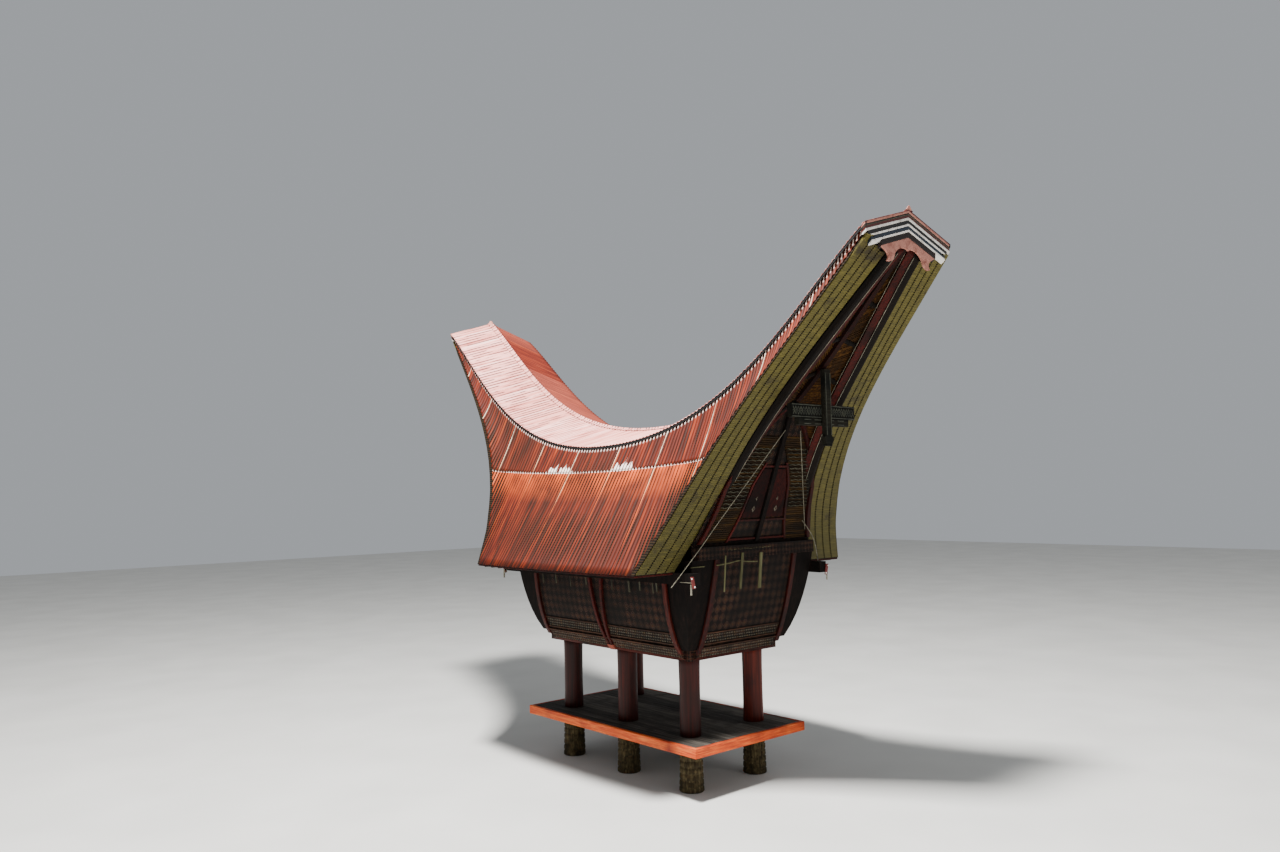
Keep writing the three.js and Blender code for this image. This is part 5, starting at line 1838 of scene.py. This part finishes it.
# From below the eave over the end of the tie beam to the foot of the gable
LEANING_CANE = ((1.60, 2.07, 3.05), (1.235, 2.28, 3.57), (0.93, 2.31, 3.889))
LEANING_RADIUS = 0.008
# At a plate's end: the foot and head of the red board and the ends of the peg and the cane,
# from the plate's outer lower corner, and the white marks across and up on the red board
RED_END = (0.06, 0.016)
RED_END_LINE = ((-0.018, 0.009, -0.036), (0.018, 0.009, 0.126))
PALE_PEG = (0.03, 0.012)
PALE_PEG_LINE = ((0.022, -0.006, -0.123), (0.022, -0.006, 0.02))
END_CANE_RADIUS = 0.005
END_CANE_LINE = ((0.006, -0.24, 0.041), (0.006, -0.01, 0.041))
WHITE_MARK = (0.02, 0.006)
WHITE_MARKS = ((0.030, 0.090), (-0.024, -0.024))
plate_low, plate_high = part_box("wall_plate_right")
leaning = through(LEANING_CANE)
boards, poles, red_ends, white_ends, canes = (start() for _ in range(5))


def under_eave(p):
    """Along the bowed edge of a long eave."""
    y = (2 * p.y - 1) * (EAVE_START - 0.01)
    return Vector((slope_ends(y)[1].x - 0.03 + p.x, y, BOARD_Z + p.z))


def at_plate(x, out, z):
    """A place by the outer lower corner of the plate's end."""
    return plate_high.x + x, plate_high.y + out, plate_low.z + z


for side in (-1, 1):
    stamp(boards, bar(*EAVE_BOARD, 24, 0.003), under_eave, side)
    y = -EAVE_START + 0.12
    while y < EAVE_START - 0.1:
        stamp(poles, rod(RAFTER_RADIUS, 8), between(
            (plate_high.x - 0.1, y, RAFTER_Z), (slope_ends(y)[1].x - 0.06, y, RAFTER_Z)), side)
        y += RAFTER_STEP
    for end in (-1, 1):
        stamp(boards, bar(*EAVE_BOARD, 0, 0.003), between(
            (INNER_POINTS[0][1] + 0.01, EAVE_START - 0.012, BOARD_Z),
            (OUTER_POINTS[0][1] - 0.02, EAVE_START - 0.012, BOARD_Z)), side, end)
        stamp(red_ends, bar(*RED_END, 2, 0.005),
              hung(*(at_plate(*spot) for spot in RED_END_LINE)), side, end)
        for x, z in WHITE_MARKS:
            stamp(white_ends, bar(*WHITE_MARK, 1, 0.002), between(
                at_plate(x, 0.018, z), at_plate(x, 0.018, z + 0.022)), side, end)
        for shape, line in ((bar(*PALE_PEG, 3, 0.004), PALE_PEG_LINE),
                            (rod(END_CANE_RADIUS, 6, 2), END_CANE_LINE)):
            stamp(canes, shape, between(*(at_plate(*spot) for spot in line)), side, end)
        stamp(canes, rod(LEANING_RADIUS, 8, 16),
              lambda p: leaning(p.y) + Vector((p.x, p.z, 0.0)), side, end)
for name, bm, finish, slot in (
        ("eave_boards", boards, beam_paint, "red_beam"), ("eave_rafters", poles, rattan, "bamboo"),
        ("plate_ends", red_ends, bright_red, "red_beam"),
        ("plate_end_marks", white_ends, lime_white, "tip_paint"),
        ("eave_canes", canes, cane, "bamboo")):
    finish_piece(name, bm, finish)

# %% [markdown]
# Piers and posts. A post is a palm trunk, peeled and rubbed smooth, so it narrows a little at
# its waist and isn't quite even. The piers are scored by rings. Each is half a section that is
# spun once round its axis, as on a lathe, and then pushed in and out a little by a noise.

# %% Spun piers and posts
TURN_STEPS = 40
UNEVEN_TURN = 0.012
TRUNK_EASE = 0.006
TRUNK_WAIST = 0.006
TRUNK_ROWS = 12
PIER_RINGS = 6
RING_GROOVE = 0.011
RING_OUTER = 0.018
RING_INNER = 0.009
PIER_TAPER = 0.020
ROWS = ("front", "middle", "rear")


def spun(section, low, high):
    """A solid with a section of (radius, height), on the middle of a node's box."""
    bm = start()
    axis = (low + high) / 2
    line = [bm.verts.new((axis.x + r, axis.y, z)) for r, z in section]
    edges = [bm.edges.new(pair) for pair in zip(line, line[1:])]
    bmesh.ops.spin(bm, geom=line + edges, cent=axis, axis=(0.0, 0.0, 1.0),
                   angle=2 * math.pi, steps=TURN_STEPS, use_merge=True)
    bmesh.ops.remove_doubles(bm, verts=bm.verts, dist=1e-5)
    tones = bm.verts.layers.float["tone"]
    shade = random.random()
    for vert in bm.verts:
        push = 1 - UNEVEN_TURN * (0.5 + noise.noise(vert.co * 2.6))
        vert.co.x = axis.x + (vert.co.x - axis.x) * push
        vert.co.y = axis.y + (vert.co.y - axis.y) * push
        vert[tones] = shade
    return bm


def trunk_section(low, high):
    """The section of a post, a little narrower at its waist."""
    radius = (high.x - low.x) / 2
    section = [(0.0, low.z), (radius - TRUNK_EASE, low.z)]
    for i in range(TRUNK_ROWS + 1):
        share = i / TRUNK_ROWS
        waist = TRUNK_WAIST * math.sin(math.pi * share)
        section.append((radius - waist, low.z + 0.008 + (high.z - low.z - 0.016) * share))
    return section + [(radius - TRUNK_EASE, high.z), (0.0, high.z)]


def pier_section(low, high):
    """The section of a pier, with grooves for its rings."""
    foot = (high.x - low.x) / 2
    height = high.z - low.z
    section = [(0.0, low.z), (foot - 0.01, low.z), (foot, low.z + 0.012)]
    for i in range(1, PIER_RINGS + 1):
        z = low.z + height * (i - 0.15) / (PIER_RINGS + 1)
        for up, cut in ((-RING_OUTER, 0.0), (-RING_INNER, RING_GROOVE),
                        (RING_INNER, RING_GROOVE), (RING_OUTER, 0.0)):
            section.append((foot - PIER_TAPER * z / height - cut, z + up))
    return section + [(foot - PIER_TAPER, high.z - 0.01), (foot - 0.028, high.z), (0.0, high.z)]


for row in ROWS:
    for side_name, side in SIDES:
        for node, piece, section, finish, slot in (
                ("post", "trunk", trunk_section, post_paint, "red_post"),
                ("pier", "scored_pier", pier_section, pier_stone, "pier_stone")):
            node += f"_{row}_{side_name}"
            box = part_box(node)
            finish_piece(f"{piece}_{row}_{side_name}", spun(section(*box), *box), finish,
                         [node], smooth=True)

# %% [markdown]
# Platform. Grey planks of uneven width lie side by side on three bearers, some of them in two
# lengths that meet on a bearer. Four rim boards with worn edges are mitred round them.

# %% Planks, bearers and mitred rims
PLANK_THICK = 0.03
PLANK_GAP = 0.0008
PLANK_WIDTHS = (0.12, 0.18)
PLANK_LEAST = 0.1
JOINT_GAP = 0.003
DECK_SET_IN = 0.0005
PLANK_UNEVEN = 0.0025
BEARER_WIDTH = 0.16
BEARER_GAP = 0.004
RIM_THICK = 0.06
RIM_HEIGHT = 0.14
RIM_DENT = 0.003
deck_low, deck_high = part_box("platform_deck")
post_boxes = [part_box(f"post_{row}_left") for row in ROWS]
post_rows = [(low.y + high.y) / 2 for low, high in post_boxes]
bm = start()
x = deck_low.x
while x < deck_high.x - 0.01:
    width = random.uniform(*PLANK_WIDTHS)
    if deck_high.x - x - width < PLANK_LEAST:
        width = deck_high.x - x
    joint = random.choice([None] + post_rows)
    runs = [(deck_low.y, deck_high.y)]
    if joint is not None:
        runs = [(deck_low.y, joint - JOINT_GAP), (joint + JOINT_GAP, deck_high.y)]
    for y0, y1 in runs:
        z = deck_high.z - PLANK_THICK / 2 - DECK_SET_IN - random.uniform(0.0, PLANK_UNEVEN)
        stamp(bm, bar(width - PLANK_GAP, PLANK_THICK, 0, 0.004), between(
            (x + width / 2, y0, z), (x + width / 2, y1, z)))
    x += width
bearer_top = deck_high.z - PLANK_THICK - BEARER_GAP
for y in post_rows:
    middle = (deck_low.z + bearer_top) / 2
    stamp(bm, bar(BEARER_WIDTH, bearer_top - deck_low.z, 0, 0.008), between(
        (deck_low.x, y, middle), (deck_high.x, y, middle)))
finish_piece("deck_planks", bm, deck_boards, ["platform_deck"])

for name in ("front", "rear", "left", "right"):
    low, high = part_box("platform_rim_" + name)
    along_x = name in ("front", "rear")
    half = (high.x - low.x) / 2 if along_x else (high.y - low.y) / 2
    outer = max(abs(v) for v in ((low.y, high.y) if along_x else (low.x, high.x)))

    def mitred(p):
        """A rim board: shorter on its inner side, with small dents along its edges."""
        inset = RIM_THICK / 2 - p.x
        run = (2 * p.y - 1) * (half - inset)
        dent = RIM_DENT * noise.noise(Vector((run * 4.0, p.z * 20.0, outer)))
        away = outer - inset - DECK_SET_IN - max(0.0, dent)
        z = (low.z + high.z) / 2 + p.z * (1 - 0.01 * abs(dent) / RIM_DENT)
        sign = 1 if name in ("rear", "right") else -1
        return Vector((run, sign * away, z)) if along_x else Vector((sign * away, run, z))
    bm = start()
    stamp(bm, bar(RIM_THICK, RIM_HEIGHT - 0.001, 40, 0.009), mitred)
    finish_piece("rim_board_" + name, bm, rim_paint, ["platform_rim_" + name])

# %% [markdown]
# The frame's own nodes that keep their shape get their finishes here.

# %% Finishes of the frame's nodes
NODE_FINISHES = {
    "pier": pier_stone, "post": post_paint, "platform_deck": deck_boards,
    "platform_rim": rim_paint, "sill": sill_carving, "granary_floor": deck_boards,
    "wall": wall_carving, "corner_post": smoke_wood, "wall_plate": smoke_wood,
    "tie_beam": beam_carving, "roof_layers": shade_dark_bamboo, "roof_iron": faded_iron,
    "bamboo_edge": shade_dark_bamboo, "ridge_cap": chalky_iron, "gable": wall_carving,
    "ridge_beam": ridge_red, "beak_crossbeam": grey_green, "beak_strut": grey_green,
    "tip_board": chalk_pink,
}
for node_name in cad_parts:
    key = max((k for k in NODE_FINISHES if node_name.startswith(k)), key=len)
    node = bpy.data.objects[node_name]
    node.data.materials.clear()
    node.data.materials.append(NODE_FINISHES[key])
print("finished nodes:", len(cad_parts))
